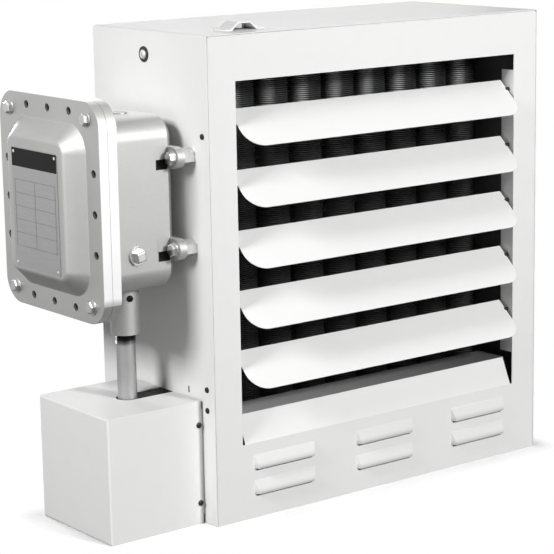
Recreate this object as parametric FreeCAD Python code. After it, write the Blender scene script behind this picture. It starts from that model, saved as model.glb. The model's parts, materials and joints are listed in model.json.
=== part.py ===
import FreeCAD
import Part
import math
import os

# Explosion-proof unit heater. Millimetres, Z up, X to the right along the front, front towards -Y.
# The origin is the middle of the cabinet's base.

# Cabinet sheet metal
cabinet_width = 584.0
cabinet_height = 650.0
cabinet_depth = 265.0
sheet = 1.5
bend_radius = 3.0
fit_gap = 0.3
overrun = 6.0
pan_flange = 22.0
panel_return = 26.0

# Front opening, sill lip and vents
opening_side_margin = 45.0
opening_top_margin = 61.0
opening_bottom = 104.0
lip_depth = 16.0
lip_rise = 38.0
lip_relief = 4.0
vent_width = 103.0
vent_height = 18.0
vent_reach = 6.5
vent_edge = 3.0
vent_taper = 5.0
vent_spacing = 177.5
vent_columns = 3
vent_lower_edges = (33.0, 68.5)

# Louvres
louvre_count = 5
louvre_chord = 66.0
louvre_sheet = 1.2
louvre_tilt = 42.0
louvre_corner = 27.0
louvre_end_gap = 4.0
pivot_from_inner_edge = 17.5
pivot_depth = 11.0
first_pivot_drop = 50.5
pin_radius = 2.5
pin_root = 14.0
pin_overhang = 3.0
running_clearance = 0.06
strip_leg = 24.0
strip_flange = 18.0
strip_bottom_gap = 47.0
strip_top_gap = 23.0

# Hanger hood and its nut
hanger_from_left = 87.0
hanger_from_front = 48.5
hanger_foot = 9.0
hanger_half_span = 22.0
hanger_half_crown = 10.0
hanger_rise = 11.0
hanger_strap = 2.0
hanger_length = 28.0
hanger_thread_radius = 4.0
hanger_nut_flats = 13.0
hanger_nut_height = 7.0

# Slotted support bolts
thread_clearance = 0.05
core_bolt_head_radius = 6.5
core_bolt_head_height = 4.0
core_bolt_y = 8.5
core_bolt_drop = 32.0

# Conduit run, shared by the core, the terminal housing and the control enclosure
conduit_y = -26.5
conduit_from_wall = 66.0
conduit_radius = 13.35
conduit_bore_radius = 10.45
conduit_thread_depth = 18.0

# Core
tube_count = 9
tube_end_room = 38.0
tube_radius = 12.7
header_end_room = 20.5
header_depth = 100.0
header_corner = 12.0
header_wall = 4.0
top_header_height = 48.0
top_header_drop = 10.0
bottom_header_height = 80.0
bottom_header_base = 45.0
saddle_width = 40.0
saddle_wall = 3.0
saddle_inset = 60.0
bracket_depth = 40.0
bracket_height = 30.0

# Immersion elements and terminal housing
nozzle_radius = 38.0
nozzle_bore_radius = 32.0
nozzle_stand_out = 8.0
wall_hole_room = 2.0
element_flange_radius = 56.0
element_flange_thickness = 12.0
element_rod_radius = 5.0
element_leg_offset = 10.0
element_row_pitch = 18.0
element_rows = 3
element_end_room = 36.0
housing_radius = 52.0
housing_length = 84.0
housing_hub_radius = 20.0
housing_hub_height = 16.0
cap_thickness = 12.0
cap_lug_radius = 22.0
cap_lug_height = 9.0

# Terminal cover
cover_reach = 150.0
cover_front_inset = 26.0
cover_length = 168.0
cover_height = 169.0
cover_wall_gap = 3.0
slot_room = 2.6
angle_leg = 16.0
angle_end_gap = 12.0

# Control enclosure
enclosure_stand_off = 18.0
enclosure_centre_y = 11.5
enclosure_centre_z = 433.0
flange_half_width = 122.0
flange_half_height = 143.0
flange_corner = 36.0
flange_thickness = 13.0
body_depth = 106.0
body_inset = 29.0
body_corner = 30.0
body_back_bevel = 10.0
flange_fillet = 16.0
body_wall = 9.0
pan_border = 32.0
pan_slope = 22.0
pan_root = 4.0
pan_corner = 36.0
pan_round = 10.0
pan_hollow = 13.0
lug_thickness = 11.0
lug_radius = 14.0
lug_reach = 11.0
lug_half_spacing = 60.0
lug_pocket_radius = 19.0
lug_pocket_length = 18.0
hub_radius = 19.5
hub_length = 62.0

# Enclosure fasteners
joint_row_inset = 16.0
joint_screw_pitch = 52.0
joint_screws_per_row = 3
counterbore_radius = 5.2
counterbore_depth = 9.0
corner_bolt_inset_y = 28.0
corner_bolt_inset_z = 23.0
corner_bolt_flats = 15.0
corner_bolt_head_height = 7.0
lug_bolt_flats = 16.0
lug_bolt_head_height = 7.0
standoff_flats = 21.0
top_plug_radius = 10.0
top_plug_height = 2.0
plug_head_flats = 14.0
plug_head_height = 9.0
plug_collar_radius = 12.5
plug_collar_height = 3.0
side_plug_from_flange = 44.0
side_plug_drop = 63.0
top_plug_from_flange = 64.0
top_plug_from_side = 62.0

# Plate on the cover
plate_half_width = 56.0
plate_half_height = 79.0
plate_thickness = 1.2
plate_drop = 5.0

# Inside of the control enclosure
subplate_half_width = 66.0
subplate_half_height = 88.0
subplate_thickness = 3.0
subplate_post_height = 8.0
subplate_post = 12.0
contactor_size = (58.0, 70.0, 78.0)
contactor_place = (24.0, 38.0)
contactor_rib = 3.0
contactor_rib_count = 4
transformer_size = (46.0, 62.0, 54.0)
transformer_place = (24.0, -48.0)
transformer_core_share = 0.6
block_size = (26.0, 34.0, 120.0)
block_place = (-40.0, 0.0)
block_slot = 4.0
block_ways = 6

# Rear panel, fan, motor and guard
fan_centre_z = 340.0
orifice_radius = 205.0
orifice_neck = 24.0
fan_tip_gap = 12.0
fan_blades = 4
fan_hub_radius = 30.0
fan_hub_length = 44.0
fan_setback = 6.0
fan_root_chord = 66.0
fan_tip_chord = 118.0
fan_pitch = 25.0
fan_camber_share = 0.08
fan_corner = 16.0
fan_sheet = 2.4
shaft_radius = 8.0
shaft_nose = 6.0
motor_stand_off = 34.0
motor_radius = 78.0
motor_length = 150.0
bell_length = 26.0
bell_step = 6.0
bell_boss_radius = 34.0
bell_boss_length = 10.0
motor_box_width = 62.0
motor_box_length = 74.0
motor_box_height = 44.0
motor_box_lid = 7.0
spider_thickness = 5.0
spider_arm_width = 32.0
spider_margin = 23.0
spider_foot = 30.0
guard_wire = 4.0
guard_rings = 6
guard_ring_sides = 24
guard_inner_share = 0.44
guard_margin = 13.0
guard_spokes = 8
guard_stand_off = 14.0

# Places worked out from the sizes above
half_width = cabinet_width / 2
front = -cabinet_depth / 2
back = cabinet_depth / 2
inner_half = half_width - sheet
left_wall = -half_width
opening_half = half_width - opening_side_margin
opening_top = cabinet_height - opening_top_margin
louvre_pitch = (opening_top - opening_bottom) / (louvre_count + 1)
pivot_y = front + pivot_depth
pivot_heights = [opening_top - first_pivot_drop - n * louvre_pitch for n in range(louvre_count)]
conduit_x = left_wall - conduit_from_wall
header_length = 2 * (inner_half - header_end_room)
tube_pitch = (header_length - 2 * tube_end_room) / (tube_count - 1)
bottom_header_axis = bottom_header_base + bottom_header_height / 2
bottom_header_top = bottom_header_base + bottom_header_height
top_header_top = cabinet_height - sheet - top_header_drop
top_header_base = top_header_top - top_header_height
core_bolt_z = cabinet_height - core_bolt_drop
flange_face_x = left_wall - nozzle_stand_out
element_end_x = header_length / 2 - header_wall - element_end_room
element_length = element_end_x - 2 * element_rod_radius - flange_face_x
housing_face_x = flange_face_x - element_flange_thickness
housing_end_x = housing_face_x - housing_length
hub_seat_z = bottom_header_axis + housing_radius + housing_hub_height
conduit_bottom = hub_seat_z - conduit_thread_depth
cover_front = front + cover_front_inset
cover_back = cover_front + cover_length
cover_left = left_wall - cover_reach
body_back_x = left_wall - enclosure_stand_off
body_front_x = body_back_x - body_depth
joint_x = body_front_x - flange_thickness
cover_face_x = joint_x - flange_thickness
pan_face_x = cover_face_x - pan_slope
body_half_width = flange_half_width - body_inset
body_half_height = flange_half_height - body_inset
lug_offset_y = body_half_width + lug_reach
body_bottom = enclosure_centre_z - body_half_height
hub_face_z = body_bottom - hub_length
conduit_top = hub_face_z + conduit_thread_depth
fan_tip_radius = orifice_radius - fan_tip_gap
fan_back_y = back - fan_setback
fan_front_y = fan_back_y - fan_hub_length
motor_front_y = back + motor_stand_off
motor_back_y = motor_front_y + motor_length
spider_reach = orifice_radius + spider_margin
guard_outer_radius = orifice_radius + guard_margin
guard_inner_radius = guard_outer_radius * guard_inner_share
AXIS_X = FreeCAD.Vector(1, 0, 0)
AXIS_Y = FreeCAD.Vector(0, 1, 0)
AXIS_Z = FreeCAD.Vector(0, 0, 1)
SIDES = (-1, 1)


def point(x, y, z):
    return FreeCAD.Vector(x, y, z)


def block(x_range, y_range, z_range):
    """Box between two values on each axis."""
    low = point(x_range[0], y_range[0], z_range[0])
    return Part.makeBox(x_range[1] - x_range[0], y_range[1] - y_range[0], z_range[1] - z_range[0], low)


def rod(radius, start, axis, length):
    return Part.makeCylinder(radius, length, start, axis)


def ring(outer, inner, start, axis, length):
    return rod(outer, start, axis, length).cut(rod(inner, start, axis, length))


def prism(corners, sweep):
    """Solid swept from a closed outline of straight edges."""
    return Part.Face(Part.makePolygon(corners + corners[:1])).extrude(sweep)


def hex_prism(flats, start, axis, length):
    """Hexagonal bar, flat side up where it lies across."""
    across = AXIS_Z if abs(axis.z) < 1 else AXIS_X
    other = axis.cross(across)
    reach = flats / math.sqrt(3)
    corners = []
    for n in range(6):
        turn = math.radians(60 * n)
        corners.append(start + across * (reach * math.sin(turn)) + other * (reach * math.cos(turn)))
    return prism(corners, axis * length)


def rounded_outline(half_u, half_v, corner, place):
    """Closed wire of a rectangle with round corners; place turns (u, v) into a point."""
    edges = []
    last = None
    first = None
    for quarter, (sign_u, sign_v) in enumerate(((1, 1), (-1, 1), (-1, -1), (1, -1))):
        mid_u = sign_u * (half_u - corner)
        mid_v = sign_v * (half_v - corner)
        turns = [math.radians(90 * quarter + part) for part in (0, 45, 90)]
        arc = [place(mid_u + corner * math.cos(t), mid_v + corner * math.sin(t)) for t in turns]
        if last is not None:
            edges.append(Part.makeLine(last, arc[0]))
        else:
            first = arc[0]
        edges.append(Part.Arc(*arc).toShape())
        last = arc[2]
    edges.append(Part.makeLine(last, first))
    return Part.Wire(edges)


def enclosure_outline(x, half_y, half_z, corner):
    """Rounded outline across the control enclosure at a given depth."""
    centre = point(x, enclosure_centre_y, enclosure_centre_z)
    return rounded_outline(half_y, half_z, corner, lambda u, v: centre + point(0, u, v))


def edges_where(shape, test):
    """Edges whose every vertex passes a test."""
    return [e for e in shape.Edges if all(test(v.Point) for v in e.Vertexes)]


def near(a, b):
    return abs(a - b) < fit_gap


def standoff_places():
    """Axes of the four lug bolts, in Y and Z."""
    return [(enclosure_centre_y + sy * lug_offset_y, enclosure_centre_z + sz * lug_half_spacing)
            for sy in SIDES for sz in SIDES]


def joint_screw_places():
    """Three screws along each side of the enclosure joint."""
    row_y = flange_half_width - joint_row_inset
    row_z = flange_half_height - joint_row_inset
    places = []
    for n in range(joint_screws_per_row):
        along = (n - (joint_screws_per_row - 1) / 2) * joint_screw_pitch
        for side in SIDES:
            places.append((enclosure_centre_y + side * row_y, enclosure_centre_z + along))
            places.append((enclosure_centre_y + along, enclosure_centre_z + side * row_z))
    return places


def corner_bolt_places():
    reach_y = flange_half_width - corner_bolt_inset_y
    reach_z = flange_half_height - corner_bolt_inset_z
    return [(enclosure_centre_y + sy * reach_y, enclosure_centre_z + sz * reach_z)
            for sy in SIDES for sz in SIDES]


def tube_places():
    return [(n - (tube_count - 1) / 2) * tube_pitch for n in range(tube_count)]


# Cabinet
def arched_block(half, y_range, top, corner):
    """Block on the base with its two long top edges rounded."""
    shape = block((-half, half), y_range, (0, top))
    folds = edges_where(shape, lambda p: near(p.z, top))
    return shape.makeFillet(corner, [e for e in folds if near(e.Vertexes[0].X, e.Vertexes[1].X)])


def tray(face_y, inward):
    """Panel with returns at its top and sides, rounded to fit inside the cabinet's folds."""
    half = inner_half - fit_gap
    top = cabinet_height - sheet - fit_gap
    depth = sorted((face_y, face_y + inward * panel_return))
    hollow = sorted((face_y + inward * sheet, face_y + inward * (panel_return + overrun)))
    shape = arched_block(half, depth, top, bend_radius)
    shape = shape.cut(arched_block(half - sheet, hollow, top - sheet, bend_radius - sheet))
    return shape.cut(block((-half, half), hollow, (0, pan_flange + fit_gap)))


def cabinet():
    """Top and sides folded from one sheet."""
    outer = arched_block(half_width, (front, back), cabinet_height, bend_radius + sheet)
    inner = arched_block(inner_half, (front - overrun, back + overrun), cabinet_height - sheet, bend_radius)
    inner = inner.fuse(block((-inner_half, inner_half), (front - overrun, back + overrun), (-overrun, 0)))
    shape = outer.cut(inner)
    nozzle_start = point(left_wall - overrun, conduit_y, bottom_header_axis)
    return shape.cut(rod(nozzle_radius + wall_hole_room, nozzle_start, AXIS_X, sheet + 2 * overrun))


def hanger_crown():
    """Foot of the hanger's axis on the cabinet's top."""
    return point(left_wall + hanger_from_left, front + hanger_from_front, cabinet_height)


def hanger_hood():
    """Hood on the top: sloped sides, open to the front, bored through its crown."""
    crown = hanger_crown()
    start = crown - AXIS_Y * (hanger_length / 2)

    def bar(half_outline, length):
        outline = half_outline + [(-u, v) for u, v in half_outline[::-1]]
        return prism([start + point(u, 0, v) for u, v in outline], AXIS_Y * length)

    foot_end = hanger_half_span + hanger_foot
    shape = bar([(foot_end, 0), (foot_end, hanger_strap), (hanger_half_span, hanger_strap),
                 (hanger_half_crown, hanger_rise)], hanger_length)
    shape = shape.cut(bar([(hanger_half_span - hanger_strap, 0),
                           (hanger_half_crown - hanger_strap / 2, hanger_rise - hanger_strap)],
                          hanger_length - hanger_strap))
    return shape.cut(rod(hanger_thread_radius, crown, AXIS_Z, hanger_rise + overrun))


def hanger_nut():
    start = hanger_crown() + AXIS_Z * (hanger_rise - hanger_strap - hanger_nut_height)
    shape = hex_prism(hanger_nut_flats, start, AXIS_Z, hanger_nut_height)
    return shape.cut(rod(hanger_thread_radius, start, AXIS_Z, hanger_nut_height))


def vent_hood(x, z, inset):
    """Tapered hood over one slot, drawn in by inset for its hollow."""
    half = vent_width / 2 - inset
    base_z = (z, z + vent_height - inset)
    edge_z = (z, z + vent_edge)
    y_base = front
    y_edge = front - vent_reach + inset
    base = [point(x - half, y_base, base_z[0]), point(x + half, y_base, base_z[0]),
            point(x + half, y_base, base_z[1]), point(x - half, y_base, base_z[1])]
    tip = half - vent_taper
    edge = [point(x - tip, y_edge, edge_z[0]), point(x + tip, y_edge, edge_z[0]),
            point(x + tip, y_edge, edge_z[1]), point(x - tip, y_edge, edge_z[1])]
    wires = [Part.makePolygon(w + w[:1]) for w in (base, edge)]
    return Part.makeLoft(wires, True, True)


def front_panel():
    """Tray with the outlet opening, an inclined sill lip and six hooded vents."""
    shape = tray(front, 1)
    shape = shape.cut(block((-opening_half, opening_half), (front - overrun, front + sheet + overrun),
                            (opening_bottom, opening_top)))
    for n in range(vent_columns):
        x = (n - (vent_columns - 1) / 2) * vent_spacing
        for z in vent_lower_edges:
            half_slot = vent_width / 2 - sheet
            slot = block((x - half_slot, x + half_slot), (front - overrun, front + sheet + overrun),
                         (z, z + vent_height - sheet))
            shape = shape.cut(slot).fuse(vent_hood(x, z, 0).cut(vent_hood(x, z, sheet)))
    lip_half = opening_half - lip_relief
    run = math.hypot(lip_depth, lip_rise)
    along = point(0, lip_depth / run, lip_rise / run)
    normal = point(0, along.z, -along.y)
    heel = point(-lip_half, front, opening_bottom)
    toe = heel + along * run
    corners = [heel, toe, toe + normal * sheet, point(-lip_half, front + sheet, opening_bottom - sheet),
               point(-lip_half, front, opening_bottom - sheet)]
    return shape.fuse(prism(corners, AXIS_X * (2 * lip_half))).removeSplitter()


def bottom_pan():
    half = inner_half - fit_gap
    y0 = front + sheet + fit_gap
    y1 = back - sheet - fit_gap
    shape = block((-half, half), (y0, y1), (0, pan_flange))
    return shape.cut(block((-half + sheet, half - sheet), (y0 + sheet, y1 - sheet), (sheet, pan_flange)))


def rear_panel():
    """Tray with a short collar round the fan."""
    centre = motor_axis_point(back)
    shape = tray(back, -1).fuse(rod(orifice_radius + sheet, centre, -AXIS_Y, orifice_neck))
    return shape.cut(rod(orifice_radius, centre, -AXIS_Y, orifice_neck)).removeSplitter()


# Louvres
def louvre_strip(side):
    """Angle behind the panel that carries the pivots."""
    z_range = (opening_bottom + strip_bottom_gap, opening_top - strip_top_gap)
    y0 = front + sheet
    leg = block(sorted((side * opening_half, side * (opening_half + sheet))), (y0, y0 + strip_leg), z_range)
    tab = block(sorted((side * opening_half, side * (opening_half + strip_flange))), (y0, y0 + sheet), z_range)
    shape = leg.fuse(tab).removeSplitter()
    for z in pivot_heights:
        start = point(side * opening_half - overrun, pivot_y, z)
        shape = shape.cut(rod(pin_radius + running_clearance, start, AXIS_X, 2 * overrun))
    return shape


def louvre(z):
    """Flat tilted blade with round outer corners and a pin at each end."""
    tilt = math.radians(louvre_tilt)
    outward = point(0, -math.cos(tilt), -math.sin(tilt))
    normal = point(0, -math.sin(tilt), math.cos(tilt))
    pivot = point(0, pivot_y, z)
    inner_edge = pivot - outward * pivot_from_inner_edge - normal * (louvre_sheet / 2)
    half = opening_half - louvre_end_gap
    round_start = louvre_chord - louvre_corner
    slack = louvre_corner * (1 - math.sqrt(0.5))

    def place(u, along):
        return inner_edge + AXIS_X * u + outward * along

    right_arc = Part.Arc(place(half, round_start), place(half - slack, louvre_chord - slack),
                         place(half - louvre_corner, louvre_chord)).toShape()
    left_arc = Part.Arc(place(louvre_corner - half, louvre_chord), place(slack - half, louvre_chord - slack),
                        place(-half, round_start)).toShape()
    edges = [Part.makeLine(place(-half, 0), place(half, 0)),
             Part.makeLine(place(half, 0), place(half, round_start)), right_arc,
             Part.makeLine(place(half - louvre_corner, louvre_chord), place(louvre_corner - half, louvre_chord)),
             left_arc, Part.makeLine(place(-half, round_start), place(-half, 0))]
    shape = Part.Face(Part.Wire(edges)).extrude(normal * louvre_sheet)
    for side in SIDES:
        start = pivot + AXIS_X * (side * (half - pin_root))
        length = pin_root + louvre_end_gap + sheet + pin_overhang
        shape = shape.fuse(rod(pin_radius, start, AXIS_X * side, length))
    return shape


# Core
def long_rounded_box(x_range, y_half, z_range, corner):
    """Bar along X with its four long edges rounded."""
    centre_z = (z_range[0] + z_range[1]) / 2
    outline = rounded_outline(y_half, (z_range[1] - z_range[0]) / 2, corner,
                              lambda u, v: point(x_range[0], conduit_y + u, centre_z + v))
    return Part.Face(outline).extrude(AXIS_X * (x_range[1] - x_range[0]))


def hollow_header(z_range):
    """Closed tank, hollow inside."""
    half = header_length / 2
    outer = long_rounded_box((-half, half), header_depth / 2, z_range, header_corner)
    inner = long_rounded_box((header_wall - half, half - header_wall), header_depth / 2 - header_wall,
                             (z_range[0] + header_wall, z_range[1] - header_wall), header_corner - header_wall)
    return outer.cut(inner)


def top_header():
    return hollow_header((top_header_base, top_header_top))


def bottom_header():
    """Tank that holds the fluid and the elements, with a nozzle through the cabinet wall."""
    tank = hollow_header((bottom_header_base, bottom_header_top))
    start = point(flange_face_x, conduit_y, bottom_header_axis)
    reach = -header_length / 2 - flange_face_x
    tank = tank.fuse(rod(nozzle_radius, start, AXIS_X, reach))
    return tank.cut(rod(nozzle_bore_radius, start, AXIS_X, reach + header_wall)).removeSplitter()


def core_tubes():
    length = top_header_base - bottom_header_top
    return Part.makeCompound([rod(tube_radius, point(x, conduit_y, bottom_header_top), AXIS_Z, length)
                              for x in tube_places()])


def core_saddles():
    """Channel feet between the pan and the bottom header."""
    saddles = []
    for side in SIDES:
        x = side * (header_length / 2 - saddle_inset)
        half = saddle_width / 2
        y_range = (conduit_y - header_depth / 2 + header_corner, conduit_y + header_depth / 2 - header_corner)
        outer = block((x - half, x + half), y_range, (sheet, bottom_header_base))
        inner = block((x - half + saddle_wall, x + half - saddle_wall),
                      (y_range[0] - overrun, y_range[1] + overrun), (0, bottom_header_base - saddle_wall))
        saddles.append(outer.cut(inner))
    return Part.makeCompound(saddles)


def core_brackets():
    """Blocks between the top header's ends and the cabinet's sides."""
    blocks = []
    for side in SIDES:
        x = sorted((side * header_length / 2, side * (inner_half - fit_gap)))
        y = (core_bolt_y - bracket_depth / 2, core_bolt_y + bracket_depth / 2)
        z = (core_bolt_z - bracket_height / 2, core_bolt_z + bracket_height / 2)
        blocks.append(block(x, y, z))
    return Part.makeCompound(blocks)


def core_bolts():
    """Round heads with a screwdriver slot, outside the walls at the brackets."""
    bolts = []
    for side in SIDES:
        seat = point(side * half_width, core_bolt_y, core_bolt_z)
        head = rod(core_bolt_head_radius, seat, AXIS_X * side, core_bolt_head_height)
        slot_x = sorted((seat.x + side * core_bolt_head_height / 2, seat.x + side * core_bolt_head_height))
        slot = block(slot_x, (seat.y - core_bolt_head_radius, seat.y + core_bolt_head_radius),
                     (seat.z - sheet / 2, seat.z + sheet / 2))
        bolts.append(head.cut(slot))
    return Part.makeCompound(bolts)


# Elements and terminal housing
def heating_elements():
    """Hairpin rods that reach from the flange into the bottom header."""
    hairpins = []
    for row in range(element_rows):
        z = bottom_header_axis + (row - (element_rows - 1) / 2) * element_row_pitch
        legs = [point(flange_face_x, conduit_y + side * element_leg_offset, z) for side in SIDES]
        hairpin = rod(element_rod_radius, legs[0], AXIS_X, element_length)
        hairpin = hairpin.fuse(rod(element_rod_radius, legs[1], AXIS_X, element_length))
        bend = block((element_end_x - 2 * element_rod_radius, element_end_x),
                     (legs[0].y - element_rod_radius, legs[1].y + element_rod_radius),
                     (z - element_rod_radius, z + element_rod_radius))
        hairpins.append(hairpin.fuse(bend))
    return Part.makeCompound(hairpins)


def element_flange():
    start = point(housing_face_x, conduit_y, bottom_header_axis)
    return rod(element_flange_radius, start, AXIS_X, element_flange_thickness)


def terminal_housing():
    """Closed casting over the element terminals, with a threaded conduit hub on top."""
    end = point(housing_end_x, conduit_y, bottom_header_axis)
    hub_base = point(conduit_x, conduit_y, bottom_header_axis)
    shape = rod(housing_radius, end, AXIS_X, housing_length)
    shape = shape.fuse(rod(housing_hub_radius, hub_base, AXIS_Z, hub_seat_z - bottom_header_axis))
    seat = point(conduit_x, conduit_y, conduit_bottom)
    return shape.cut(rod(conduit_radius + thread_clearance, seat, AXIS_Z, conduit_thread_depth))


def terminal_cap():
    """Screwed cap with a hexagonal turning lug."""
    rim = point(housing_end_x - cap_thickness, conduit_y, bottom_header_axis)
    shape = rod(housing_radius, rim, AXIS_X, cap_thickness)
    return shape.fuse(hex_prism(2 * cap_lug_radius, rim, -AXIS_X, cap_lug_height))


def terminal_cover():
    """Folded box, open to the cabinet wall, with a slot for the conduit in its top."""
    right = left_wall - cover_wall_gap
    outer = block((cover_left, right), (cover_front, cover_back), (0, cover_height))
    folds = edges_where(outer, lambda p: near(p.x, cover_left))
    shape = outer.makeFillet(bend_radius, folds)
    shape = shape.cut(block((cover_left + sheet, right + overrun), (cover_front + sheet, cover_back - sheet),
                            (sheet, cover_height - sheet)))
    slot_radius = conduit_radius + slot_room
    z0 = cover_height - sheet - overrun
    shape = shape.cut(rod(slot_radius, point(conduit_x, conduit_y, z0), AXIS_Z, sheet + 2 * overrun))
    shape = shape.cut(block((conduit_x, right + overrun), (conduit_y - slot_radius, conduit_y + slot_radius),
                            (z0, cover_height + overrun)))
    return shape


def cover_angles():
    """Two angles on the cabinet wall that the cover slides over."""
    angles = []
    z_range = (angle_end_gap, cover_height - angle_end_gap)
    for face, inward in ((cover_front + sheet, 1), (cover_back - sheet, -1)):
        y = face + inward * fit_gap
        leg = block((left_wall - angle_leg, left_wall), sorted((y, y + inward * sheet)), z_range)
        foot = block((left_wall - sheet, left_wall), sorted((y, y + inward * (angle_leg + sheet))), z_range)
        angles.append(leg.fuse(foot).removeSplitter())
    return Part.makeCompound(angles)


# Control enclosure
def enclosure_plate(x, half_y, half_z, corner, length):
    """Slab across the enclosure with round corners, from x towards the wall."""
    return Part.Face(enclosure_outline(x, half_y, half_z, corner)).extrude(AXIS_X * length)


def rim_edges(shape, x, half_y, half_z):
    """Edges that run round the enclosure at one depth, inside given half sizes."""
    edges = []
    for edge in shape.Edges:
        middle = edge.CenterOfMass
        inside = abs(middle.y - enclosure_centre_y) < half_y and abs(middle.z - enclosure_centre_z) < half_z
        if inside and near(middle.x, x) and all(near(v.X, x) for v in edge.Vertexes):
            edges.append(edge)
    return edges


def enclosure_body():
    """Cast box: flange swept into the walls, bevelled back, lugs, bolt pockets and a conduit hub."""
    shape = enclosure_plate(joint_x, flange_half_width, flange_half_height, flange_corner, flange_thickness)
    walls = enclosure_plate(body_front_x, body_half_width, body_half_height, body_corner, body_depth)
    shape = shape.fuse(walls.makeChamfer(body_back_bevel, rim_edges(walls, body_back_x, half_width, cabinet_height)))
    waist = rim_edges(shape, body_front_x, body_half_width + fit_gap, body_half_height + fit_gap)
    shape = shape.makeFillet(flange_fillet, waist)
    for y, z in standoff_places():
        shape = shape.fuse(enclosure_lug(y, z))
    hub_start = point(conduit_x, conduit_y, hub_face_z)
    shape = shape.fuse(rod(hub_radius, hub_start, AXIS_Z, hub_length + body_wall))
    for y, z in standoff_places():
        pocket = point(body_back_x - lug_thickness - lug_pocket_length, y, z)
        shape = shape.cut(rod(lug_pocket_radius, pocket, AXIS_X, lug_pocket_length))
    shape = shape.cut(enclosure_plate(joint_x, body_half_width - body_wall, body_half_height - body_wall,
                                      body_corner - body_wall, body_depth + flange_thickness - body_wall))
    shape = shape.cut(rod(conduit_bore_radius, hub_start, AXIS_Z, hub_length + body_wall))
    return shape.cut(rod(conduit_radius + thread_clearance, hub_start, AXIS_Z, conduit_thread_depth))


def enclosure_lug(y, z):
    """Ear on the enclosure's back edge, round at the bolt and rooted in the wall."""
    inward = enclosure_centre_y - y
    root = y + math.copysign(lug_reach + body_wall, inward)
    x0 = body_back_x - lug_thickness
    tab = block((x0, body_back_x), sorted((y, root)), (z - lug_radius, z + lug_radius))
    return tab.fuse(rod(lug_radius, point(x0, y, z), AXIS_X, lug_thickness))


def side_plug():
    """Pipe plug with a collar and a square head, in the body's front side."""
    seat = point(body_front_x + side_plug_from_flange, enclosure_centre_y - body_half_width,
                 enclosure_centre_z - side_plug_drop)
    collar = rod(plug_collar_radius, seat, -AXIS_Y, plug_collar_height)
    half = plug_head_flats / 2
    y = seat.y - plug_collar_height
    return collar.fuse(block((seat.x - half, seat.x + half), (y - plug_head_height, y), (seat.z - half, seat.z + half)))


def top_plug():
    """Low round plug with a screwdriver slot, in the body's top."""
    seat = point(body_front_x + top_plug_from_flange, enclosure_centre_y - body_half_width + top_plug_from_side,
                 enclosure_centre_z + body_half_height)
    top = seat.z + top_plug_height
    slot = block((seat.x - top_plug_radius, seat.x + top_plug_radius), (seat.y - sheet, seat.y + sheet),
                 (top - top_plug_height / 2, top))
    return rod(top_plug_radius, seat, AXIS_Z, top_plug_height).cut(slot)


def enclosure_cover():
    """Flat flange and a raised pan with sloped, rounded sides, hollow behind, with sunk screw seats."""
    base_y = flange_half_width - pan_border
    base_z = flange_half_height - pan_border
    pan = enclosure_plate(pan_face_x, base_y, base_z, pan_corner, pan_slope + pan_root)
    pan = pan.makeChamfer(pan_slope, rim_edges(pan, pan_face_x, half_width, cabinet_height))
    pan = pan.makeFillet(pan_round, rim_edges(pan, pan_face_x, half_width, cabinet_height))
    shape = enclosure_plate(cover_face_x, flange_half_width, flange_half_height, flange_corner, flange_thickness)
    shape = shape.fuse(pan)
    shape = shape.cut(enclosure_plate(pan_face_x + pan_hollow, base_y - pan_slope, base_z - pan_slope,
                                      pan_corner - pan_hollow, joint_x - pan_face_x - pan_hollow))
    for y, z in joint_screw_places():
        start = point(cover_face_x, y, z)
        shape = shape.cut(rod(counterbore_radius, start, AXIS_X, counterbore_depth))
    return shape


def corner_bolts():
    """Hex heads on the cover's corners."""
    return Part.makeCompound([hex_prism(corner_bolt_flats, point(cover_face_x, y, z), -AXIS_X, corner_bolt_head_height)
                              for y, z in corner_bolt_places()])


def lug_bolts():
    """Hex heads in the pockets, on the lugs."""
    x = body_back_x - lug_thickness
    return Part.makeCompound([hex_prism(lug_bolt_flats, point(x, y, z), -AXIS_X, lug_bolt_head_height)
                              for y, z in standoff_places()])


def standoffs():
    """Hex spacers between the lugs and the cabinet wall."""
    return Part.makeCompound([hex_prism(standoff_flats, point(body_back_x, y, z), AXIS_X, enclosure_stand_off)
                              for y, z in standoff_places()])


def conduit():
    start = point(conduit_x, conduit_y, conduit_bottom)
    return ring(conduit_radius, conduit_bore_radius, start, AXIS_Z, conduit_top - conduit_bottom)


def plate_centre():
    return point(pan_face_x, enclosure_centre_y, enclosure_centre_z - plate_drop)


def rating_plate():
    centre = plate_centre()
    return block((centre.x - plate_thickness, centre.x), (centre.y - plate_half_width, centre.y + plate_half_width),
                 (centre.z - plate_half_height, centre.z + plate_half_height))


# Inside of the control enclosure
def floor_x():
    return body_back_x - body_wall


def subplate_x():
    return floor_x() - subplate_post_height


def subplate():
    """Mounting plate on four posts."""
    x = subplate_x()
    shape = block((x - subplate_thickness, x),
                  (enclosure_centre_y - subplate_half_width, enclosure_centre_y + subplate_half_width),
                  (enclosure_centre_z - subplate_half_height, enclosure_centre_z + subplate_half_height))
    for sy in SIDES:
        for sz in SIDES:
            y = enclosure_centre_y + sy * (subplate_half_width - subplate_post)
            z = enclosure_centre_z + sz * (subplate_half_height - subplate_post)
            half = subplate_post / 2
            shape = shape.fuse(block((x, floor_x()), (y - half, y + half), (z - half, z + half)))
    return shape


def inner_block(size, place):
    """Box on the mounting plate; size runs along X, Y and Z."""
    x1 = subplate_x() - subplate_thickness
    y = enclosure_centre_y + place[0]
    z = enclosure_centre_z + place[1]
    return block((x1 - size[0], x1), (y - size[1] / 2, y + size[1] / 2), (z - size[2] / 2, z + size[2] / 2))


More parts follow.
